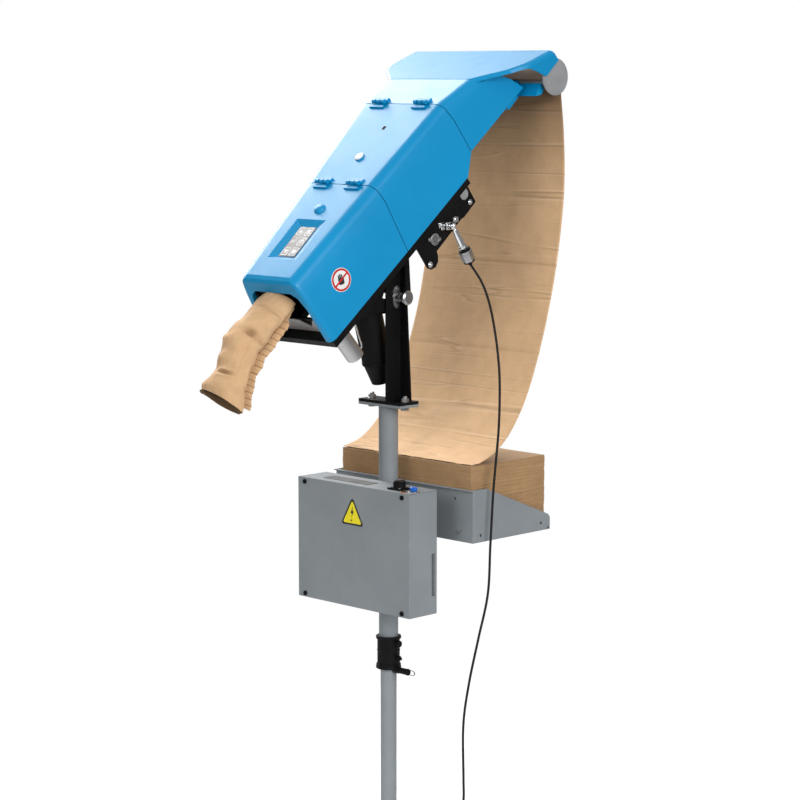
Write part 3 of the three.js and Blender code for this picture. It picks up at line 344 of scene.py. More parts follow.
# Films and labels: dark and light shade, rougher end of the gloss, grain.
FILMS = {
    "white_film": ((0.74, 0.74, 0.73), (0.82, 0.82, 0.81), 0.42, 900),
    "red_film": ((0.50, 0.012, 0.015), (0.60, 0.02, 0.02), 0.42, 900),
    "yellow_film": ((0.80, 0.68, 0.015), (0.88, 0.75, 0.025), 0.42, 900),
    "keypad_film": ((0.13, 0.118, 0.112), (0.16, 0.145, 0.137), 0.4, 1200),
    "key_pad": ((0.19, 0.175, 0.168), (0.23, 0.212, 0.203), 0.4, 1200),
    "label_silver": ((0.11, 0.118, 0.116), (0.15, 0.158, 0.155), 0.42, 1200),
}
FILM_MATERIALS = {"key_pad": "key_pad_film", "label_silver": "silver_label"}
for look, (dark, light, rough, grain) in FILMS.items():
    LOOKS[look] = moulded(FILM_MATERIALS.get(look, look), dark, light, (0.3, rough), grain, 0.00004)

NODE_LOOKS = {
    "blue": ["front_cover", "mid_cover", "rear_hood", "paper_guide"],
    "grey": ["base_frame", "lower_pole", "upper_pole", "pole_clamps", "box_tub", "box_cover", "paper_tray"],
    "black": ["collar_screw_lower", "collar_screw_upper", "height_pin", "box_screw_1", "box_screw_2",
              "box_screw_3", "box_screw_4", "tilt_post", "pivot_bolt", "chassis", "tilt_bracket",
              "side_plate_left", "side_plate_right", "cutter_frame", "drive_motor"],
    "black_plastic": ["pedal_housing", "pedal_treadle", "pole_collar", "switch_plate", "switch_knob"],
    "rubber": ["base_foot_1", "base_foot_2", "base_foot_3", "base_foot_4", "base_centre_pad"],
    "steel": ["power_supply", "plate_bolt_left", "plate_bolt_right", "tilt_pin_flange", "tilt_pin",
              "tie_bar_front", "tie_bar_rear", "forming_chute", "feed_wheel_lower", "feed_wheel_upper"],
    "dull_steel": ["cutter_motor", "cable_block"],
    "bright_plate": ["cutter_blade"],
    "chrome": ["wire_bail", "cable_stem"],
    "blue_plastic": ["reset_button"],
    "grey_plastic": ["infeed_roller", "keypad"],
    "board": ["control_board"],
}


def dress_cad_nodes():
    """Gives each CAD node its material and smooth shading, with a finer limit on the blue covers."""
    for look, names in NODE_LOOKS.items():
        for name in names:
            piece = frame["nodes"][name]
            for place in piece.material_slots:
                place.material = LOOKS[look]
            for polygon in piece.data.polygons:
                polygon.use_smooth = True
            weld = piece.modifiers.new("weld", "WELD")
            weld.merge_threshold = 0.00002
            split = piece.modifiers.new("split", "EDGE_SPLIT")
            split.split_angle = math.radians(18 if look == "blue" else 30)
            even_out = piece.modifiers.new("normals", "WEIGHTED_NORMAL")
            even_out.weight = 100


dress_cad_nodes()


# ---- making pieces --------------------------------------------------------------------------
def new_piece(name, bm, look, body, matrix=None, smooth=35, looks=()):
    """Turns a bmesh in mm into an object in metres."""
    if matrix is not None:
        bmesh.ops.transform(bm, matrix=matrix, verts=bm.verts)
    bmesh.ops.recalc_face_normals(bm, faces=bm.faces)
    mesh = bpy.data.meshes.new(name)
    for face in bm.faces:
        face.smooth = smooth > 0
    bm.to_mesh(mesh)
    bm.free()
    piece = bpy.data.objects.new(name, mesh)
    bpy.context.scene.collection.objects.link(piece)
    for key in (look, *looks):
        mesh.materials.append(LOOKS[key])
    if 0 < smooth < 180:
        split = piece.modifiers.new("split", "EDGE_SPLIT")
        split.split_angle = math.radians(smooth)
    if body:
        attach(piece, body)
    return piece


def join_rings(bm, first, second, mark=0):
    """Faces between two closed rings with the same number of points."""
    for k in range(len(first)):
        n = (k + 1) % len(first)
        bm.faces.new([first[k], first[n], second[n], second[k]]).material_index = mark


def add_faces(bm, rows, closed=False, mark=0):
    """Joins rows of points into quads; closed also joins each row's end to its start."""
    grid = [[bm.verts.new(p) for p in row] for row in rows]
    for first, second in zip(grid, grid[1:]):
        if closed:
            join_rings(bm, first, second, mark)
        else:
            for k in range(len(first) - 1):
                bm.faces.new([first[k], first[k + 1], second[k + 1], second[k]]).material_index = mark
    return grid


def add_lathe(bm, profile, matrix, steps=32, mark=0):
    """Turns (radius, height) points about Z; a radius of 0 closes the end."""
    rings = []
    for i in range(steps):
        a = 2 * math.pi * i / steps
        rings.append([bm.verts.new(matrix @ Vector((r * math.cos(a), r * math.sin(a), h))) if r else None
                      for r, h in profile])
    poles = [None if r else bm.verts.new(matrix @ Vector((0, 0, h))) for r, h in profile]
    for near, far in zip(rings, rings[1:] + rings[:1]):
        near, far = ([ring[k] or poles[k] for k in range(len(profile))] for ring in (near, far))
        for k in range(len(profile) - 1):
            corners = list(dict.fromkeys((near[k], near[k + 1], far[k + 1], far[k])))
            if len(corners) > 2:
                bm.faces.new(corners).material_index = mark


def add_plate(bm, outline, low, high, matrix, bevel=0.0, mark=0):
    """A flat shape of (x, y) points from height low to high, its top edge chamfered."""
    layers = [(outline, low), (outline, high - bevel)]
    if bevel:
        centre = Vector((sum(p[0] for p in outline), sum(p[1] for p in outline))) / len(outline)
        reach = max((Vector(p) - centre).length for p in outline)
        share = 1 - bevel / reach * 1.3
        layers.append(([centre + (Vector(p) - centre) * share for p in outline], high))
    rings = [[bm.verts.new(matrix @ Vector((p[0], p[1], h))) for p in shape] for shape, h in layers]
    for a, b in zip(rings, rings[1:]):
        join_rings(bm, a, b, mark)
    for ring in (rings[0], rings[-1]):
        bm.faces.new(ring).material_index = mark


def rounded(x0, x1, y0, y1, radius, steps=5):
    """The outline of a rectangle with round corners."""
    points = []
    for cx, cy, start in ((x1 - radius, y1 - radius, 0), (x0 + radius, y1 - radius, 90),
                          (x0 + radius, y0 + radius, 180), (x1 - radius, y0 + radius, 270)):
        for i in range(steps + 1):
            angle = math.radians(start + 90 * i / steps)
            points.append((cx + radius * math.cos(angle), cy + radius * math.sin(angle)))
    return points


def circle(x, y, radius, steps=32):
    return [(x + radius * math.cos(2 * math.pi * i / steps), y + radius * math.sin(2 * math.pi * i / steps))
            for i in range(steps)]


def add_band(bm, outside, inside, low, high, matrix, mark=0):
    """A raised frame between two outlines with the same number of points."""
    rows = []
    for shape, h in ((outside, low), (outside, high), (inside, high), (inside, low)):
        rows.append([bm.verts.new(matrix @ Vector((p[0], p[1], h))) for p in shape])
    for i in range(4):
        join_rings(bm, rows[i], rows[(i + 1) % 4], mark)


def add_tube(bm, points, radius, steps):
    """A round tube along points, with closed ends."""
    side = (points[1] - points[0]).normalized().orthogonal().normalized()
    rings = []
    for i, point in enumerate(points):
        way = (points[min(i + 1, len(points) - 1)] - points[max(i - 1, 0)]).normalized()
        side = (side - way * side.dot(way)).normalized()
        other = way.cross(side)
        rings.append([bm.verts.new(point + (side * math.cos(a) + other * math.sin(a)) * radius)
                      for a in (2 * math.pi * k / steps for k in range(steps))])
    for a, b in zip(rings, rings[1:]):
        join_rings(bm, a, b)
    bm.faces.new(rings[0])
    bm.faces.new(rings[-1])


def turned(degrees):
    return Matrix.Rotation(math.radians(degrees), 4, "Z")


def placed(origin, across, up, out, turn=0.0):
    """A matrix from a flat drawing in mm (x across, y up, z out of the face) into a place."""
    across, up, out = (Vector(v).normalized() for v in (across, up, out))
    place = Matrix((
        (across.x, up.x, out.x, origin[0]),
        (across.y, up.y, out.y, origin[1]),
        (across.z, up.z, out.z, origin[2]),
        (0, 0, 0, 1)))
    return place @ turned(turn) @ WORLD


def facing_up(x, y, z):
    """A level place, drawn with x to the right and y to the rear."""
    return placed(Vector((x, y, z)) * MM, AXIS_X, (0, 1, 0), (0, 0, 1))


def facing_front(x, y, z):
    """An upright place that faces the front, drawn with x to the right and y up."""
    return placed(Vector((x, y, z)) * MM, AXIS_X, (0, 0, 1), (0, -1, 0))


def box_in_mm(name):
    low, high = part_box(name)
    return low / MM, high / MM


def thicken(piece, thickness, offset=0.0):
    """Gives an open sheet its thickness, in metres."""
    skin = piece.modifiers.new("thickness", "SOLIDIFY")
    skin.thickness = thickness
    skin.offset = offset
    return skin


def add_attribute(piece, name, values):
    layer = piece.data.attributes.new(name, "FLOAT", "POINT")
    layer.data.foreach_set("value", values)


def curve_through(points, count):
    """Points evenly spread along a centripetal curve through the given points."""
    points = [Vector(p) for p in points]
    ends = [points[0] * 2 - points[1], *points, points[-1] * 2 - points[-2]]
    fine = []
    for i in range(len(points) - 1):
        p = ends[i:i + 4]
        t = [0.0]
        for a, b in zip(p, p[1:]):
            t.append(t[-1] + max((b - a).length, 1e-9) ** 0.5)
        for k in range(24):
            fine.append(_spline(p, t, t[1] + (t[2] - t[1]) * k / 24))
    fine.append(points[-1])
    return even(fine, count)


def _spline(p, t, at):
    def mix(a, b, ta, tb):
        return a * ((tb - at) / (tb - ta)) + b * ((at - ta) / (tb - ta))

    a = [mix(p[i], p[i + 1], t[i], t[i + 1]) for i in range(3)]
    b = [mix(a[i], a[i + 1], t[i], t[i + 2]) for i in range(2)]
    return mix(b[0], b[1], t[1], t[2])


def even(points, count):
    lengths = [0.0]
    for a, b in zip(points, points[1:]):
        lengths.append(lengths[-1] + (b - a).length)
    result = []
    k = 0
    for i in range(count):
        goal = lengths[-1] * i / (count - 1)
        while k < len(points) - 2 and lengths[k + 1] < goal:
            k += 1
        step = max(lengths[k + 1] - lengths[k], 1e-12)
        result.append(points[k].lerp(points[k + 1], min(max((goal - lengths[k]) / step, 0), 1)))
    return result


def length_of(points):
    return sum((b - a).length for a, b in zip(points, points[1:]))


# ---- the foot switch's cable ----------------------------------------------------------------
CORD_ROUTE = [
    (130, 109, 1391), (148, 123, 1355), (165, 128.5, 1311), (184, 128, 1241), (198, 123, 1177),
    (208, 114, 1126), (217, 101.5, 1058), (220, 90.5, 995), (220, 83, 931), (220, 75, 821),
    (220, 68, 721), (215, 45, 629), (208, 26, 541), (202, 16, 458), (200, 18.7, 337),
    (200, 19, 292), (201, 5, 215), (202, -22, 140), (202, -50, 80), (201, -72, 45), (200, -89.5, 34.5),
]
CORD_DIAMETER = 0.005
CORD_JOIN = 0.38
CORD_STEPS = 240


def make_cords():
    line = [p * MM for p in curve_through(CORD_ROUTE, CORD_STEPS + 1)]
    turn = round(CORD_STEPS * CORD_JOIN)
    parts = (("foot_cable_upper", "cord_upper", line[:turn + 1], "head", "mast"),
             ("foot_cable_lower", "cord_lower", line[turn:], "mast", "stand"))
    for name, node, points, first, second in parts:
        bm = bmesh.new()
        add_tube(bm, points, CORD_DIAMETER / 2, 12)
        piece = new_piece(name, bm, "rubber", None, smooth=60)
        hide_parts(node)
        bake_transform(piece)


make_cords()


# ---- paper ----------------------------------------------------------------------------------
# The crumpled tube's middle line: y, z and half width.
TUBE_ROUTE = [
    (-297, 1333, 44), (-316, 1316, 46), (-338, 1296, 47), (-360, 1277, 48), (-381, 1257, 49),
    (-402, 1230, 47), (-421, 1201, 46), (-438, 1174, 54), (-455, 1146, 69),
]
# Shares of the tube's length, with its sideways drift in mm and its thickness against its width.
TUBE_DRIFT = ((0.0, -7), (0.12, -8), (0.36, -12), (0.62, -11), (0.80, -8), (1.0, -3))
TUBE_FLATNESS = ((0.0, 0.66), (0.35, 0.75), (0.62, 0.74), (0.82, 0.58), (1.0, 0.34))
# Each dent: share of the length, angle round the tube, spread along, spread round, depth in mm.
TUBE_DENTS = [
    (0.165, -1.45, 0.020, 0.42, -4.6), (0.200, -1.00, 0.012, 0.70, 2.2), (0.178, -0.60, 0.010, 0.40, -3.0),
    (0.425, -0.90, 0.024, 0.30, -11.0), (0.440, -0.20, 0.026, 0.60, -4.0), (0.375, -0.55, 0.040, 0.45, 4.0),
    (0.470, -0.60, 0.030, 0.40, 2.6), (0.500, -2.05, 0.035, 0.50, 7.0), (0.590, -2.10, 0.040, 0.50, -5.0),
    (0.545, -1.15, 0.045, 0.22, 3.4), (0.560, -0.70, 0.080, 0.16, -3.6), (0.640, -0.40, 0.060, 0.30, -3.2),
    (0.715, -2.20, 0.045, 0.60, -9.0), (0.770, -1.45, 0.014, 0.46, -11.0), (0.800, -1.10, 0.012, 0.55, 3.6),
    (0.748, -1.25, 0.012, 0.45, 3.0), (0.885, -2.30, 0.050, 0.65, 8.0),
    (0.860, -0.10, 0.050, 0.40, -4.5),
    (0.300, 0.20, 0.060, 0.34, -4.5), (0.520, 0.30, 0.050, 0.28, -6.0), (0.680, 0.35, 0.050, 0.30, -4.0),
    (0.080, -0.50, 0.040, 0.60, 2.4), (0.300, -1.90, 0.050, 0.40, -3.0), (0.240, -0.20, 0.030, 0.30, 2.6),
    (0.300, 2.20, 0.050, 0.60, -5.0), (0.560, 2.60, 0.040, 0.50, -5.0), (0.720, 1.90, 0.050, 0.60, -4.0),
    (0.420, 1.50, 0.030, 0.50, -4.0), (0.860, 2.40, 0.050, 0.50, 4.0),
]
SEAM_ANGLE = 0.42
SEAM_WAY = Vector((0.74, 0.66, -0.10)).normalized()
TUBE_LINE = curve_through(TUBE_ROUTE, 60)


def between(table, share):
    """The value at a share of the length, read between a table's rows."""
    for (s0, f0), (s1, f1) in zip(table, table[1:]):
        if share <= s1:
            return f0 + (f1 - f0) * (share - s0) / (s1 - s0)
    return table[-1][1]


def tube_section(share):
    """The centre, half width and way of the crumpled tube at a share of its length."""
    place = share * (len(TUBE_LINE) - 1)
    k = min(int(place), len(TUBE_LINE) - 2)
    point = TUBE_LINE[k].lerp(TUBE_LINE[k + 1], place - k)
    way = TUBE_LINE[min(k + 2, len(TUBE_LINE) - 1)] - TUBE_LINE[max(k - 1, 0)]
    centre = Vector((between(TUBE_DRIFT, share), point.x, point.y))
    way = Vector((0, way.x, way.y)).normalized()
    return centre, point.z, way


def dent_weight(dent, share, angle):
    s, a, along, round_it, _ = dent
    turn = (angle - a + math.pi) % (2 * math.pi) - math.pi
    return math.exp(-((share - s) / along) ** 2 - (turn / round_it) ** 2)


def tube_point(share, angle, lift=0.0):
    centre, half, way = tube_section(share)
    under = AXIS_X.cross(way)
    radius = half * (1 + 0.04 * math.cos(4 * angle))
    for dent in TUBE_DENTS:
        radius += dent[4] * dent_weight(dent, share, angle)
    ripple = noise.noise(Vector((math.cos(angle) * 1.5, math.sin(angle) * 1.5, share * 6.0)))
    small = noise.noise(Vector((math.cos(angle) * 4 + 9, math.sin(angle) * 4, share * 16.0)))
    tiny = noise.noise(Vector((math.cos(angle) * 9 + 2, math.sin(angle) * 9, share * 40.0)))
    settle = min(1, share / 0.08)
    radius += settle * (3.2 * ripple + 1.8 * small + 0.5 * tiny)
    radius *= 1 - 0.13 * math.exp(-((angle - SEAM_ANGLE) / 0.2) ** 2)
    radius += lift
    flat = between(TUBE_FLATNESS, share)
    return centre + AXIS_X * radius * math.cos(angle) + under * radius * flat * math.sin(angle)


TUBE_ROUNDS = 132
TUBE_ROWS = 170
FLARE_START = 0.86


def make_paper_tube():
    bm = bmesh.new()
    grid, marks = [], []
    for i in range(TUBE_ROWS + 1):
        share = i / TUBE_ROWS
        row = []
        for k in range(TUBE_ROUNDS):
            angle = -math.pi + 2 * math.pi * k / TUBE_ROUNDS
            point = tube_point(share, angle)
            if share > FLARE_START:
                _, _, way = tube_section(share)
                reach = 6 * math.sin(angle) + 15 * math.cos(angle) - 2
                point += way * reach * ((share - FLARE_START) / (1 - FLARE_START)) ** 2
            row.append(point)
            marks.append(dent_shade_at(share, angle))
        grid.append(row)
    add_faces(bm, grid, closed=True)
    tube = new_piece("crumpled_tube", bm, "paper", "head", WORLD, 180, ("paper_inside",))
    skin = thicken(tube, 0.0009, -1)
    # The inner faces take the darker inside paper: painted shade inside the tube.
    skin.material_offset = 1
    skin.material_offset_rim = 0
    add_attribute(tube, "crease", marks)
    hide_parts("paper_tube")


def dent_shade_at(share, angle):
    """How much painted shade the paper takes there: in the sharpest dents, and in the groove beside the seam.
    """
    depth = -sum(dent[4] * dent_weight(dent, share, angle) for dent in TUBE_DENTS
                 if dent[4] < 0 and dent[2] < 0.03)
    groove = 0.7 * math.exp(-((angle - SEAM_ANGLE) / 0.14) ** 2)
    return min(max(depth / 13, groove), 0.7)


PLEAT = 14.0


def make_tube_seam():
    """The crimped strip down the side of the tube, with a fold across it every PLEAT mm."""
    bm = bmesh.new()
    steps, lanes = 460, 10
    total = length_of([Vector((p.x, p.y, 0)) for p in TUBE_LINE])
    grid, marks = [], []
    for i in range(steps + 1):
        share = 0.13 + 0.87 * i / steps
        _, _, way = tube_section(share)
        root = tube_point(share, SEAM_ANGLE, -1.0)
        out = (SEAM_WAY - way * SEAM_WAY.dot(way) * 0.4).normalized()
        side = out.cross(way).normalized()
        phase = share * total / PLEAT + 0.25 * noise.noise(Vector((share * 9, 1, 7)))
        saw = phase - math.floor(phase)
        pleat = 4.2 * (saw if saw < 0.82 else (1 - saw) / 0.18 * 0.82) - 1.8
        width = 19 + 1.6 * noise.noise(Vector((share * 9, 3, 1))) + 0.5 * saw
        width *= 0.5 + 0.5 * min(1, i / (steps * 0.05))
        lean = 4 * noise.noise(Vector((share * 4, 8, 2)))
        # Painted shade in the gap between pleats.
        dark = math.exp(-((saw - 0.91) / 0.12) ** 2)
        row = []
        for k in range(lanes + 1):
            across = k / lanes
            lift = pleat * min(1.0, across * 3) + lean * across ** 2
            row.append(root + out * width * across + side * lift + way * 4.0 * across)
            # Marks: the painted shade between pleats, and painted shade on the two lanes where the strip meets
            # the tube.
            marks.append(min(1, 0.95 * dark * min(1, k / 2) + (0.7 if k < 2 else 0)))
        grid.append(row)
    add_faces(bm, grid)
    strip = new_piece("crumpled_tube_seam", bm, "paper", "head", WORLD, 180)
    add_attribute(strip, "crease", marks)
    thicken(strip, 0.0012)


make_paper_tube()
make_tube_seam()

WEB_ROUTE = [
    (52, 987.2), (95, 996), (136, 1018), (172, 1052), (214, 1112), (262, 1222), (298, 1345),
    (322, 1480), (329, 1560), (326, 1660),
]
PAPER_WIDTH = 381
PAPER_FOLD = 190  # mm from one fold to the next


def web_line():
    """The running paper from the pack, round the infeed roller and in under the hood."""
    low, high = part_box("infeed_roller")
    centre = Vector(((low[1] + high[1]) / 2, (low[2] + high[2]) / 2)) / MM
    wrap = 17.9
    points = [Vector(p) for p in WEB_ROUTE]
    for i in range(11):
        angle = math.radians(-5 + 13.7 * i)
        points.append(centre + Vector((math.cos(angle), math.sin(angle))) * wrap)
    inwards = Vector((AXIS_U.y, AXIS_U.z))
    points.append(points[-1] - inwards * 30)
    return curve_through([Vector((0, p.x, p.y)) for p in points], 221)


def make_paper_web():
    line = web_line()
    columns = 72
    bm = bmesh.new()
    rows, marks, distances = [], [], []
    run = 0.0
    total = length_of(line)
    for i, point in enumerate(line):
        if i:
            run += (point - line[i - 1]).length
        way = (line[min(i + 1, len(line) - 1)] - line[max(i - 1, 0)]).normalized()
        out = way.cross(AXIS_X)
        free = min(1, run / 60) * min(1, max(0, total - 90 - run) / 150)
        start = math.exp(-(run / 70) ** 2)
        from_fold = run % PAPER_FOLD - 120
        # Painted shade under the hood over the last stretch of the run. It is kept in the same marks as the
        # darker line at each fold.
        in_shade = max(0, min(1, (run - total + 330) / 230)) ** 1.5
        marks += [max(0.28 * math.exp(-(from_fold / 1.6) ** 2), in_shade)] * (columns + 1)
        distances += [run * MM] * (columns + 1)
        row = []
        for k in range(columns + 1):
            x = -PAPER_WIDTH / 2 + PAPER_WIDTH * k / columns
            spot = Vector((x * 0.006, run * 0.004, 2))
            lift = 2.4 * free * noise.noise(spot) + 0.5 * free * noise.noise(spot * 5)
            lift += 1.1 * math.exp(-(from_fold / 2.2) ** 2) * free
            lift += 2.6 * start * max(0, noise.noise(Vector((x * 0.03, run * 0.06, 5))))
            row.append(point + AXIS_X * x + out * lift)
        rows.append(row)
    add_faces(bm, rows)
    web = new_piece("running_paper", bm, "paper_web", None, WORLD, 180)
    add_attribute(web, "crease", marks)
    add_attribute(web, "run", distances)
    thicken(web, 0.0006)
    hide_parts("paper_web")
    start = line[6] * MM
    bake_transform(web)
    return web, total


PACK_FOLDS = 150
PACK_INSET = 1.4
PACK_SAG = 1.2  # mm the top sheet lies below the CAD pack's top
TOP_RINGS = 13


def make_paper_pack():
    """Fan-folded paper: each fold stands a little proud or back, and the top sheet is bowed."""
    low, high = box_in_mm("paper_pack")
    corners = ((low.x, low.y, 60), (high.x, low.y, 40), (high.x, high.y, 60), (low.x, high.y, 40))
    outline = []
    for (x0, y0, steps), (x1, y1, _) in zip(corners, corners[1:] + corners[:1]):
        for i in range(steps):
            outline.append(Vector((x0 + (x1 - x0) * i / steps, y0 + (y1 - y0) * i / steps)))
    centre = Vector(((low.x + high.x) / 2, (low.y + high.y) / 2))
    half = Vector(((high.x - low.x) / 2, (high.y - low.y) / 2))
    top = high.z - PACK_SAG
    rows = []
    for r in range(PACK_FOLDS + 1):
        share = r / PACK_FOLDS
        z = low.z + (top - low.z) * share
        fold = 0.55 if r % 2 else 0.0
        drift = Vector([0.9 * noise.noise(Vector((place, 0, z * 0.06))) for place in (0, 4)])
        row = []
        for p in outline:
            local = p - centre
            edge = Vector((local.x / half.x, local.y / half.y))
            ragged = 0.5 * noise.noise(Vector((p.x * 0.02, p.y * 0.02, z * 0.5)))
            squeeze = PACK_INSET + fold + ragged + 1.2 * (1 - share) ** 4
            pulled = Vector((local.x - edge.x * squeeze * (abs(edge.x) > 0.98),
                             local.y - edge.y * squeeze * (abs(edge.y) > 0.98)))
            place = centre + pulled + drift * 0.6
            wave = 0.5 * noise.noise(Vector((p.x * 0.01, p.y * 0.01, r * 0.2)))
            row.append(Vector((place.x, place.y, z + wave)))
        rows.append(row)
    bm = bmesh.new()
    grid = add_faces(bm, rows, closed=True, mark=1)
    previous = grid[-1]
    for ring in range(1, TOP_RINGS):  # the top sheet shrinks ring by ring towards its middle
        share = 1 - ring / TOP_RINGS
        current = []
        for p in rows[-1]:
            flat = Vector((centre.x + (p.x - centre.x) * share, centre.y + (p.y - centre.y) * share))
            rise = 0.9 * min(1, ring / 2) + 0.35 * noise.noise(Vector((flat.x * 0.02, flat.y * 0.02, 4)))
            current.append(bm.verts.new(Vector((flat.x, flat.y, top + rise))))
        join_rings(bm, previous, current)
        previous = current
    bm.faces.new(previous)
    bm.faces.new(list(reversed(grid[0]))).material_index = 1
    pack = new_piece("fan_folded_pack", bm, "pack_top", "mast", WORLD, 40, ("pack_side",))
    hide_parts("paper_pack")
    return pack


web, web_length = make_paper_web()
pack = make_paper_pack()


# ---- trim on the head -----------------------------------------------------------------------
def top_face(x, u, v=0.0):
    """A place on the head's top sheet: drawn with x across and y towards the rear."""
    return placed(HEAD @ Vector((x, u, v)), AXIS_X, AXIS_U, AXIS_V)


def side_face(x, u, v, turn=0.0):
    """A place on a plate across X: drawn with x towards the rear and y up."""
    way = 1 if x > 0 else -1
    return placed(HEAD @ Vector((x, u, v)), AXIS_U * way, AXIS_V, AXIS_X * way, turn)


def nose_lean(v):
    """How far the outlet cover's sides are drawn back at a height."""
    return 0.5 * (0.12 * v + 0.27 * min(0, v + 30))


def cover_face(u, v):
    """A place on the right side of the covers, which leans a little."""
    out = (AXIS_X - AXIS_U * 0.07 + AXIS_V * 0.12).normalized()
    across = (AXIS_U + AXIS_X * 0.07).normalized()
    up = out.cross(across)
    return placed(HEAD @ Vector((cover_half(u - nose_lean(v), v) + 0.1, u, v)), across, up, out)


def add_screw(bm, spot, radius, height, steps, base=0.0):
    """A round screw head with a socket in it; base is how far it stands off the place."""
    socket = radius * 0.42
    profile = [(0, height * 0.35), (socket, height * 0.35), (socket, height), (radius * 0.72, height),
               (radius * 0.93, height * 0.72), (radius, height * 0.3), (radius, 0), (0, 0)]
    add_lathe(bm, [(r, h + base) for r, h in profile], spot, steps)


def closed(profile):
    return profile + [profile[0]]


def make_sign():
    """A red ring with a bar over a plain mitt, on the side of the outlet cover."""
    spot = cover_face(80.3, -75.1)
    hand = spot @ turned(-30)
    bm = bmesh.new()
    add_plate(bm, circle(0, 0, 24, 64), 0.05, 0.5, spot, bevel=0.15)
    add_band(bm, circle(0, 0, 22.6, 64), circle(0, 0, 18.6, 64), 0.4, 0.72, spot, mark=1)
    add_plate(bm, rounded(-7.5, 6.5, -9.5, 4.5, 4), 0.4, 0.66, hand, mark=2)
    for x, top in ((-5.5, 10.5), (-1.6, 12.2), (2.3, 10.8)):
        add_plate(bm, rounded(x - 1.5, x + 1.5, 2, top, 1.45), 0.4, 0.66, hand, mark=2)
    add_plate(bm, rounded(-19.5, 19.5, -1.9, 1.9, 0.4), 0.4, 0.8, spot @ turned(3), mark=1)
    new_piece("side_sign", bm, "white_film", "outlet_cover", looks=("red_film", "ink"))


def make_caps():
    bm = bmesh.new()
    dome = [(0, 3.4), (3.5, 3.2), (6.8, 2.5), (9.2, 1.3), (10.6, 0.2), (10.9, -0.4), (0, -0.4)]
    add_lathe(bm, dome, top_face(1, 196, 4), 40)
    new_piece("catch_dome", bm, "blue", "outlet_cover")
    bm = bmesh.new()
    cap = [(0, 2.0), (5.5, 1.9), (8.6, 1.2), (9.8, 0.2), (9.9, -0.3), (0, -0.3)]
    add_lathe(bm, cap, top_face(1, 346, 3), 40)
    new_piece("hole_plug", bm, "white_film", "middle_cover")
    bm = bmesh.new()
    spot = top_face(5, 433)
    add_band(bm, rounded(-4.0, 4.0, -5.0, 5.0, 1.6), rounded(-2.6, 2.6, -3.6, 3.6, 1.0), -2.4, 0.5, spot)
    add_plate(bm, rounded(-2.7, 2.7, -3.7, 3.7, 1.0), -2.4, -1.6, spot)
    new_piece("slot_grommet", bm, "black_plastic", "middle_cover")


KEYPAD_FLOOR = -5.7
KEY_COLUMNS = (-11.8, 11.8)
KEY_ROWS = (82, 110, 137.5)
BARS_PLACE = (1, 0)  # the row and column with three small bars instead of a key


def make_keypad():
    """Membrane keys: a raised pad, a light outline, a red dot and a simple sign on each."""
    bm = bmesh.new()
    film = top_face(0, 109.8, KEYPAD_FLOOR + 0.02)
    add_plate(bm, rounded(-22.9, 22.9, -40.8, 40.8, 1.5), 0, 0.3, film, mark=3)
    for row, u in enumerate(KEY_ROWS):
        for column, x in enumerate(KEY_COLUMNS):
            spot = top_face(x, u, KEYPAD_FLOOR + 0.3)
            if (row, column) == BARS_PLACE:
                for left in (-7, -2, 3):
                    inside = rounded(left + 1, left + 2.6, -3, 3, 0.6)
                    add_band(bm, rounded(left, left + 3.6, -4, 4, 1), inside, 0, 0.35, spot)
                add_plate(bm, circle(-7, 8, 1.3, 16), 0, 0.5, spot, bevel=0.2, mark=1)
                continue
            add_plate(bm, rounded(-8.6, 8.6, -10.6, 10.6, 3.2), 0, 0.35, spot, bevel=0.15, mark=4)
            add_band(bm, rounded(-8.8, 8.8, -10.8, 10.8, 3.4), rounded(-7.7, 7.7, -9.7, 9.7, 2.6),
                     0, 0.62, spot)
            add_key_sign(bm, spot, row, column)
            add_plate(bm, circle(-10.6, 9.6, 0.9, 14), 0, 0.5, spot, bevel=0.2, mark=1)
    new_piece("membrane_keys", bm, "white_film", "outlet_cover",
              looks=("red_film", "ink", "keypad_film", "key_pad"))


def add_key_sign(bm, spot, row, column):
    """Arrows in the left column; lines, an on-off sign and a square in the right one."""
    if column == 0:
        arrow = [(-4.5, -3.5), (4.5, -3.5), (0, 5)] if row == 2 else [(-4.5, 3.5), (0, -5), (4.5, 3.5)]
        shapes = [arrow]
    elif row == 2:
        shapes = [rounded(-5, 5, y, y + 2, 0.6) for y in (-5, -1, 3)]
    elif row == 1:
        add_band(bm, circle(0, 0, 5, 24), circle(0, 0, 3.6, 24), 0.3, 0.6, spot)
        shapes = [rounded(-0.8, 0.8, -0.5, 6.5, 0.5)]
    else:
        shapes = [rounded(-4.5, 4.5, -4.5, 4.5, 0.8)]
    for shape in shapes:
        add_plate(bm, shape, 0.3, 0.6, spot)


PLATE_FACE = 112.6  # the rear side plates' outer faces


def make_side_fittings():
    """Screws and axle caps on the two rear side plates; socket and toggle on the right one."""
    for x, label in ((PLATE_FACE, "right"), (-PLATE_FACE, "left")):
        bm = bmesh.new()
        disc = [(0, 1.5), (2.6, 1.5), (3.0, 1.2), (5.2, 1.2), (5.6, 1.5), (8.0, 1.5), (8.4, 1.2), (9.8, 1.2),
                (10.2, 1.9), (11.4, 1.8), (12.0, 1.1), (12.0, 0), (0, 0)]
        add_lathe(bm, disc, side_face(x, 434.5, -182.5), 48)
        new_piece(f"axle_cap_{label}", bm, "grey_plastic", "head")
        bm = bmesh.new()
        for u, v, radius in ((437, -208, 3.8), (268.5, -221, 4.2)):
            spot = side_face(x, u, v)
            washer = [(0, 0.9), (radius * 1.5, 0.9), (radius * 1.6, 0.5), (radius * 1.6, 0), (0, 0)]
            add_lathe(bm, washer, spot, 28)
            add_screw(bm, spot, radius, 2.4, 28, 0.8)
        new_piece(f"side_screws_{label}", bm, "chrome", "head")
    make_socket()
    make_latch()


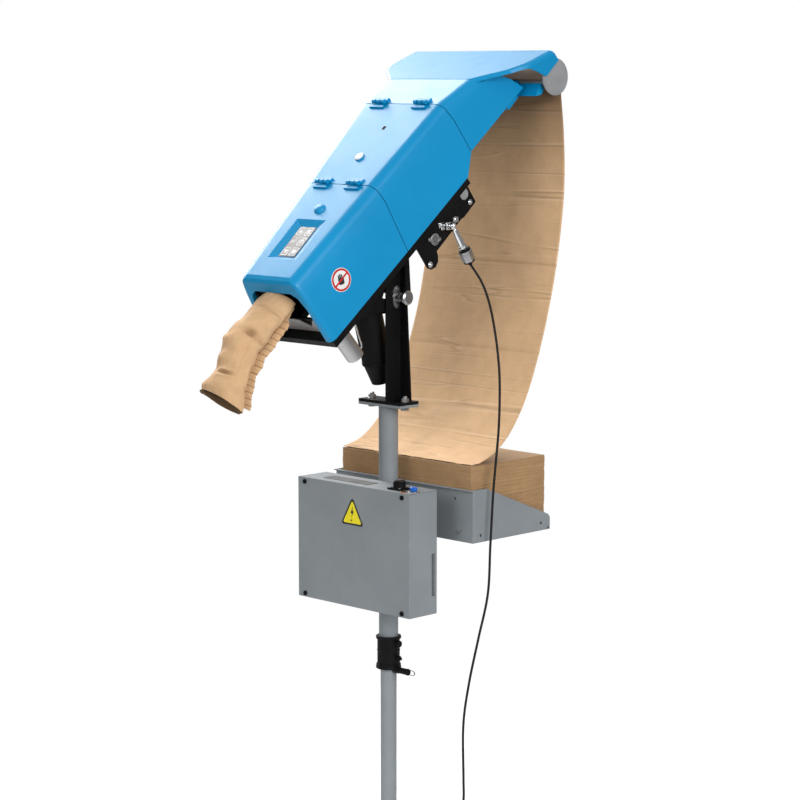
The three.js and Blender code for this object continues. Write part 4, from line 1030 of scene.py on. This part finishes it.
def make_socket():
    spot = side_face(PLATE_FACE, 311.5, -191.5, -42)
    bm = bmesh.new()
    ring = [(8.6, 2.6), (10.6, 2.8), (12.2, 2.0), (12.6, 0.8), (12.6, 0), (8.6, 0)]
    add_lathe(bm, closed(ring), spot, 40)
    add_lathe(bm, [(0, 1.6), (8.6, 1.6), (8.6, 0.2), (0, 0.2)], spot, 32)
    for k in range(5):
        angle = math.radians(72 * k + 18)
        pin = spot @ Matrix.Translation((4.6 * math.cos(angle), 4.6 * math.sin(angle), 1.4))
        add_lathe(bm, [(0, 0.4), (1.3, 0.4), (1.3, 0), (0, 0)], pin, 14, mark=1)
    for x in (-14.2, 14.2):
        ear = spot @ Matrix.Translation((x, 0, 0))
        add_plate(bm, circle(0, 0, 4.4, 24), 0, 0.9, ear, bevel=0.25)
        add_screw(bm, ear, 2.6, 1.8, 20, 0.8)
    new_piece("cable_socket", bm, "steel", "head", looks=("black_plastic",))


def make_latch():
    """A small toggle on the plate: a pivoting eye at one end and its keeper at the other."""
    bm = bmesh.new()
    spot = side_face(PLATE_FACE, 345, -184.5, -42)
    add_plate(bm, rounded(-9, 9, -5.5, 5.5, 2.4), 0, 1.4, spot, bevel=0.35)
    for x in (-5.6, 5.6):
        add_screw(bm, spot @ Matrix.Translation((x, 0, 0)), 2.5, 1.8, 20, 1.3)
    knuckle = spot @ Matrix.Translation((0, -7, 2.4)) @ Matrix.Rotation(math.radians(90), 4, "Y")
    add_lathe(bm, [(0, -5), (2.2, -5), (2.6, -4.4), (2.6, 4.4), (2.2, 5), (0, 5)], knuckle, 18)
    keeper = side_face(PLATE_FACE, 382, -204, 48)
    add_plate(bm, [(-5, -8), (5, -8), (6.5, 2), (4, 8), (-4, 8), (-6.5, 2)], 0, 1.6, keeper, bevel=0.4)
    add_plate(bm, rounded(-3.2, 3.2, -5.5, 4.5, 1.4), 1.5, 4.2, keeper, bevel=0.8)
    add_screw(bm, keeper @ Matrix.Translation((0, 6.2, 0)), 2.0, 1.5, 16, 1.5)
    new_piece("side_toggle", bm, "chrome", "head")


CABLE_TOP = Vector((128, 58, 1472)) * MM
CABLE_NECK = Vector((128.3, 91.6, 1423)) * MM
CABLE_END = Vector((129.6, 109, 1391.4)) * MM


def make_cable_fitting():
    """A ball joint, a tapered sleeve, a hexagonal block and the cable's gland."""
    way = (CABLE_NECK - CABLE_TOP).normalized()
    across = way.orthogonal().normalized()
    spot = placed(CABLE_TOP, across, way.cross(across), way)
    reach = (CABLE_NECK - CABLE_TOP).length / MM
    bm = bmesh.new()
    lug = side_face(112.7, 358, -199, -42)
    add_plate(bm, rounded(-9, 9, -8, 8, 3), 0, 3, lug, bevel=0.6)
    add_plate(bm, rounded(-5, 5, -4.5, 4.5, 2), 2.8, 11, lug, bevel=1.2)
    sleeve = [(0, -8), (3.5, -7.4), (6.2, -5.2), (7.4, -1.5), (7.2, 2.0), (5.6, 4.6), (4.6, 6.2), (4.9, 7.4),
              (5.6, 8.0), (6.1, 16), (6.9, 28), (7.8, reach - 14), (8.1, reach - 11.5), (6.8, reach - 10.8),
              (6.8, reach - 9.4), (8.6, reach - 8.8), (9.0, reach - 7), (8.6, reach - 5.2), (6.2, reach - 4.6),
              (6.2, reach + 1), (0, reach + 1)]
    add_lathe(bm, sleeve, spot, 36)
    stem = new_piece("cable_ball_joint", bm, "chrome", "head", smooth=40)
    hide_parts("cable_stem")
    way = (CABLE_END - CABLE_NECK).normalized()
    across = (AXIS_X - way * AXIS_X.dot(way)).normalized()
    spot = placed(CABLE_NECK, across, way.cross(across), way)
    bm = bmesh.new()
    rings = []
    for radius, height in ((11.8, 2.2), (13.8, 4.6), (13.8, 25.5), (12.0, 27.8)):
        rings.append([bm.verts.new(spot @ Vector((radius * math.cos(a), radius * math.sin(a), height)))
                      for a in (math.radians(60 * k + 15) for k in range(6))])
    for a, b in zip(rings, rings[1:]):
        join_rings(bm, a, b)
    bm.faces.new(rings[0])
    bm.faces.new(rings[-1])
    cap = [(0, -2.2), (9.5, -2.2), (12.2, -1.4), (12.6, 0.4), (12.4, 2.4), (0, 2.4)]
    add_lathe(bm, cap, spot, 32, mark=1)
    gland = [(0, 27.4), (12.0, 27.4), (12.2, 29.0), (10.6, 30.6), (7.4, 32.2), (5.2, 33.2), (4.6, 33.6),
             (4.6, 34.4), (3.9, 34.8), (3.6, 36.4), (0, 36.4)]
    add_lathe(bm, gland, spot, 32, mark=1)
    block = new_piece("cable_gland_block", bm, "steel", "head", looks=("black_plastic",))
    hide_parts("cable_block")


make_sign()
make_caps()
make_keypad()
make_side_fittings()
make_cable_fitting()


# ---- trim on the box, the tray and the stand ------------------------------------------------
def triangle(half, bottom, top, radius):
    """The outline of an upright triangle with round corners."""
    corners = [Vector((-half, bottom)), Vector((half, bottom)), Vector((0, top))]
    points = []
    for i, corner in enumerate(corners):
        into = [(p - corner).normalized() for p in (corners[i - 1], corners[(i + 1) % 3])]
        half_angle = math.acos(into[0].dot(into[1])) / 2
        centre = corner + (into[0] + into[1]).normalized() * radius / math.sin(half_angle)
        touch = [corner + way * radius / math.tan(half_angle) - centre for way in into]
        start, end = (math.atan2(p.y, p.x) for p in touch)
        turn = (end - start) % (2 * math.pi)
        for k in range(7):
            angle = start + turn * k / 6
            points.append((centre.x + radius * math.cos(angle), centre.y + radius * math.sin(angle)))
    return points


def middle_of(name):
    low, high = box_in_mm(name)
    return (low.x + high.x) / 2, (low.y + high.y) / 2, high.z


def make_box_trim():
    low, high = box_in_mm("box_cover")
    front = facing_front(-1, low.y, 886)
    bm = bmesh.new()
    add_plate(bm, triangle(33.5, -27, 32, 4.5), 0.05, 0.35, front, mark=1)
    add_plate(bm, triangle(27.2, -23.2, 24.4, 2.6), 0.3, 0.55, front)
    bolt = [(1.5, 13), (-4.5, -2), (-0.6, -2), (-2.5, -12), (4.6, 2.2), (0.8, 2.2)]
    add_plate(bm, bolt, 0.5, 0.75, front, mark=1)
    add_plate(bm, circle(-2.2, -17, 1.9, 20), 0.5, 0.75, front, mark=1)
    new_piece("box_triangle", bm, "yellow_film", "mast", looks=("ink",))

    bm = bmesh.new()
    lid = facing_up(-45, -66, high.z)
    label = rounded(-66, 66, -16, 16, 1.5)
    add_plate(bm, label, 0.02, 0.5, lid, bevel=0.15)
    add_band(bm, label, rounded(-64.8, 64.8, -14.8, 14.8, 1.0), 0.3, 0.7, lid, mark=1)
    for k, span in enumerate((50, 38, 46, 30, 42)):  # five blank lines for print
        y = 10.5 - 5 * k
        add_plate(bm, rounded(-60, -60 + span, y - 0.9, y + 0.9, 0.6), 0.4, 0.6, lid, mark=1)
        add_plate(bm, rounded(2, 2 + span * 0.9, y - 0.7, y + 0.7, 0.5), 0.4, 0.6, lid, mark=1)
    new_piece("box_plate", bm, "label_silver", "mast", looks=("ink",))

    bm = bmesh.new()
    for x, y, radius in ((134, -94, 3.6), (143, -96, 2.8)):
        spot = facing_up(x, y, high.z)
        add_plate(bm, circle(0, 0, radius * 1.25, 6), 0, 1.6, spot, bevel=0.288)
        stub = [(0, 3.8), (radius * 0.55, 3.8), (radius * 0.75, 3.2), (radius * 0.75, 1.2), (0, 1.2)]
        add_lathe(bm, stub, spot, 20, mark=1)
    new_piece("box_terminals", bm, "copper", "mast", looks=("black_plastic",))

    knob_x, knob_y, _ = middle_of("switch_knob")
    spot = facing_up(knob_x, knob_y, high.z + 4)
    bm = bmesh.new()
    for x, y in ((-14.5, -13.5), (14.5, -13.5), (-14.5, 13.5), (14.5, 13.5)):
        add_screw(bm, spot @ Matrix.Translation((x, y, 0)), 2.0, 1.2, 18)
    new_piece("switch_screws", bm, "steel", "mast")
    bm = bmesh.new()
    grip = []
    for k in range(48):
        angle = 2 * math.pi * k / 48
        flute = 1 - 0.06 * (math.cos(angle * 12) > 0.2)
        grip.append((12.8 * flute * math.cos(angle), 12.8 * flute * math.sin(angle)))
    add_plate(bm, grip, 1.4, 13.5, spot, bevel=1.4)
    add_plate(bm, rounded(-1.0, 1.0, 2, 11.5, 0.6), 13.4, 13.9, spot, mark=1)
    new_piece("switch_grip", bm, "black_plastic", "main_switch", looks=("white_film",))

    bm = bmesh.new()
    button = middle_of("reset_button")
    spot = facing_up(*button)
    add_lathe(bm, [(0, 1.6), (3.0, 1.5), (5.6, 0.9), (7.2, -0.2), (7.6, -0.6), (0, -0.6)], spot, 32)
    new_piece("reset_cap", bm, "blue_plastic", "reset")
    bm = bmesh.new()
    bezel = [(8.6, 0), (12.0, 0), (12.0, 0.9), (11.2, 1.5), (9.2, 1.5), (8.6, 1.0), (8.6, 0)]
    add_lathe(bm, bezel, spot @ Matrix.Translation((0, 0, high.z - button[2])), 36)
    new_piece("reset_bezel", bm, "steel", "mast")


def make_tray_trim():
    """Two thin curled tabs on the tray's front."""
    low, _ = box_in_mm("paper_tray")
    bm = bmesh.new()
    tab = facing_front(164, low.y + 7, 845)
    for side in (-1, 1):
        rows = []
        for k in range(9):
            share = k / 8
            lift = 3.2 * (1 - share) ** 1.5
            edge = ((2.2, 0.1), (0.6, lift * 0.8 + 0.3), (-2.2, lift + 0.5), (-2.6, lift + 0.1))
            rows.append([tab @ Vector((side * 9 * share, 3.5 * share + y, out)) for y, out in edge])
        add_faces(bm, rows)
    tabs = new_piece("tray_tab", bm, "grey", "mast", smooth=50)
    thicken(tabs, 0.0006, -1)


def make_stand_trim():
    plate = box_in_mm("tilt_post")[0].z + 6.02
    bm = bmesh.new()
    for name in ("plate_bolt_left", "plate_bolt_right"):
        x, y, head = middle_of(name)
        spot = facing_up(x, y, plate)
        washer = [(5.6, 0), (10.4, 0), (10.4, 0.8), (9.8, 1.1), (6.0, 1.1), (5.6, 0.8)]
        add_lathe(bm, closed(washer), spot, 32)
        stud = spot @ Matrix.Translation((0, 0, head - plate))
        add_lathe(bm, [(0, 1.4), (2.6, 1.4), (4.4, 0.2), (4.4, -0.4), (0, -0.4)], stud, 24)
    new_piece("plate_washers", bm, "steel", "mast")
    bm = bmesh.new()
    add_screw(bm, facing_front(35, 12.9, 1353), 3.4, 2.2, 24)
    for z in (1150, 1250):
        add_screw(bm, facing_front(30, 12.9, z), 2.4, 1.2, 20)
    new_piece("post_screws", bm, "black", "mast")


def make_collar_trim():
    """Rolled lips and a waist on the collar, and the fluted grip of its pull pin."""
    low, high = box_in_mm("pole_collar")
    pin_low, pin_high = box_in_mm("height_pin")
    bm = bmesh.new()
    for z, radius, half in ((high.z - 3, 26.0, 2.9), (low.z + 10.9, 26.0, 2.9), (high.z - 31, 23.8, 1.6)):
        lip = [(radius - 0.5, half), (radius + 0.3, half * 0.8), (radius + 0.7, 0),
               (radius + 0.3, -half * 0.8), (radius - 0.5, -half)]
        add_lathe(bm, closed(lip), facing_up(0, 0, z), 56)
    new_piece("collar_lips", bm, "black_plastic", "mast")
    bm = bmesh.new()
    spot = placed(Vector((0, 0, (pin_low.z + pin_high.z) / 2)) * MM, (0, 1, 0), (0, 0, 1), AXIS_X)
    grip = [(5.9, 34), (6.5, 34.6)]
    for k in range(4):
        start = 34.6 + 4.6 * k
        grip += [(6.5, start + 3.2), (6.1, start + 3.6), (6.1, start + 4.2), (6.5, start + 4.6)]
    grip += [(6.5, 53.4), (5.9, 54.0)]
    add_lathe(bm, closed(grip), spot, 32)
    new_piece("height_pin_grip", bm, "black_plastic", "height_lock")


make_box_trim()
make_tray_trim()
make_stand_trim()
make_collar_trim()


# ---- floor and light ------------------------------------------------------------------------
# Each light: name, place, size in metres, watts.
LIGHTS = (
    ("left_bank", (-2.75, 0.75, 3.55), (1.9, 3.2), 190),
    ("hood_bank", (-2.6, 2.1, 3.6), (1.5, 1.5), 11),
    ("front_fill", (0.6, -4.2, 2.6), (2.0, 2.0), 62),
    ("right_bank", (4.2, -1.2, 2.4), (2.4, 2.4), 140),
)
LIGHTS_AIM = (0, 0, 1.2)
SKY_LOW = 0.24
SKY_HIGH = 0.52


def make_world():
    """A white backdrop for the eye, and a softer white sky for the light."""
    world = bpy.data.worlds.new("studio")
    world.use_nodes = True
    s = Nodes(world.node_tree)
    split = s.node("SeparateXYZ", Vector=s.node("TexCoord").outputs["Generated"])
    upward = s.node("MapRange", Value=split.outputs["Z"], From_Min=0.05, To_Min=SKY_LOW, To_Max=SKY_HIGH)
    seen = s.node("LightPath").outputs["Is Camera Ray"]
    strength = s.node("Mix", Factor=seen, A=upward.outputs["Result"], B=1.0)
    sky = s.tree.nodes["Background"]
    s.feed(sky.inputs["Color"], (1.0, 1.0, 1.0))
    s.feed(sky.inputs["Strength"], strength.outputs["Result"])
    bpy.context.scene.world = world


def make_studio():
    bm = bmesh.new()
    add_plate(bm, circle(0, 0, 3200, 128), -30, -0.5, WORLD)
    mesh = bpy.data.meshes.new("floor")
    bm.to_mesh(mesh)
    bm.free()
    floor = bpy.data.objects.new("floor", mesh)
    bpy.context.scene.collection.objects.link(floor)
    s = Shader("pale_floor", Roughness=0.9, Specular_IOR_Level=0.1)
    shade = s.ramp(s.noise(0.6), [(0.3, (0.90, 0.90, 0.90)), (0.7, (0.92, 0.92, 0.92))])
    reach = s.node("VectorMath", operation="LENGTH")
    s.feed(reach.inputs[0], s.where)
    mesh.materials.append(s.use(Base_Color=shade, Alpha=s.span(reach.outputs["Value"], 1.0, 0.0, 0.5, 2.2)))
    make_world()
    target = Vector(LIGHTS_AIM)
    for name, place, size, power in LIGHTS:
        data = bpy.data.lights.new(name, "AREA")
        data.shape = "RECTANGLE"
        data.size, data.size_y = size
        data.energy = power
        light = bpy.data.objects.new(name, data)
        light.location = place
        light.rotation_euler = (Vector(place) - target).to_track_quat("Z", "Y").to_euler()
        bpy.context.scene.collection.objects.link(light)
    bpy.context.scene.view_settings.view_transform = "Standard"


make_studio()
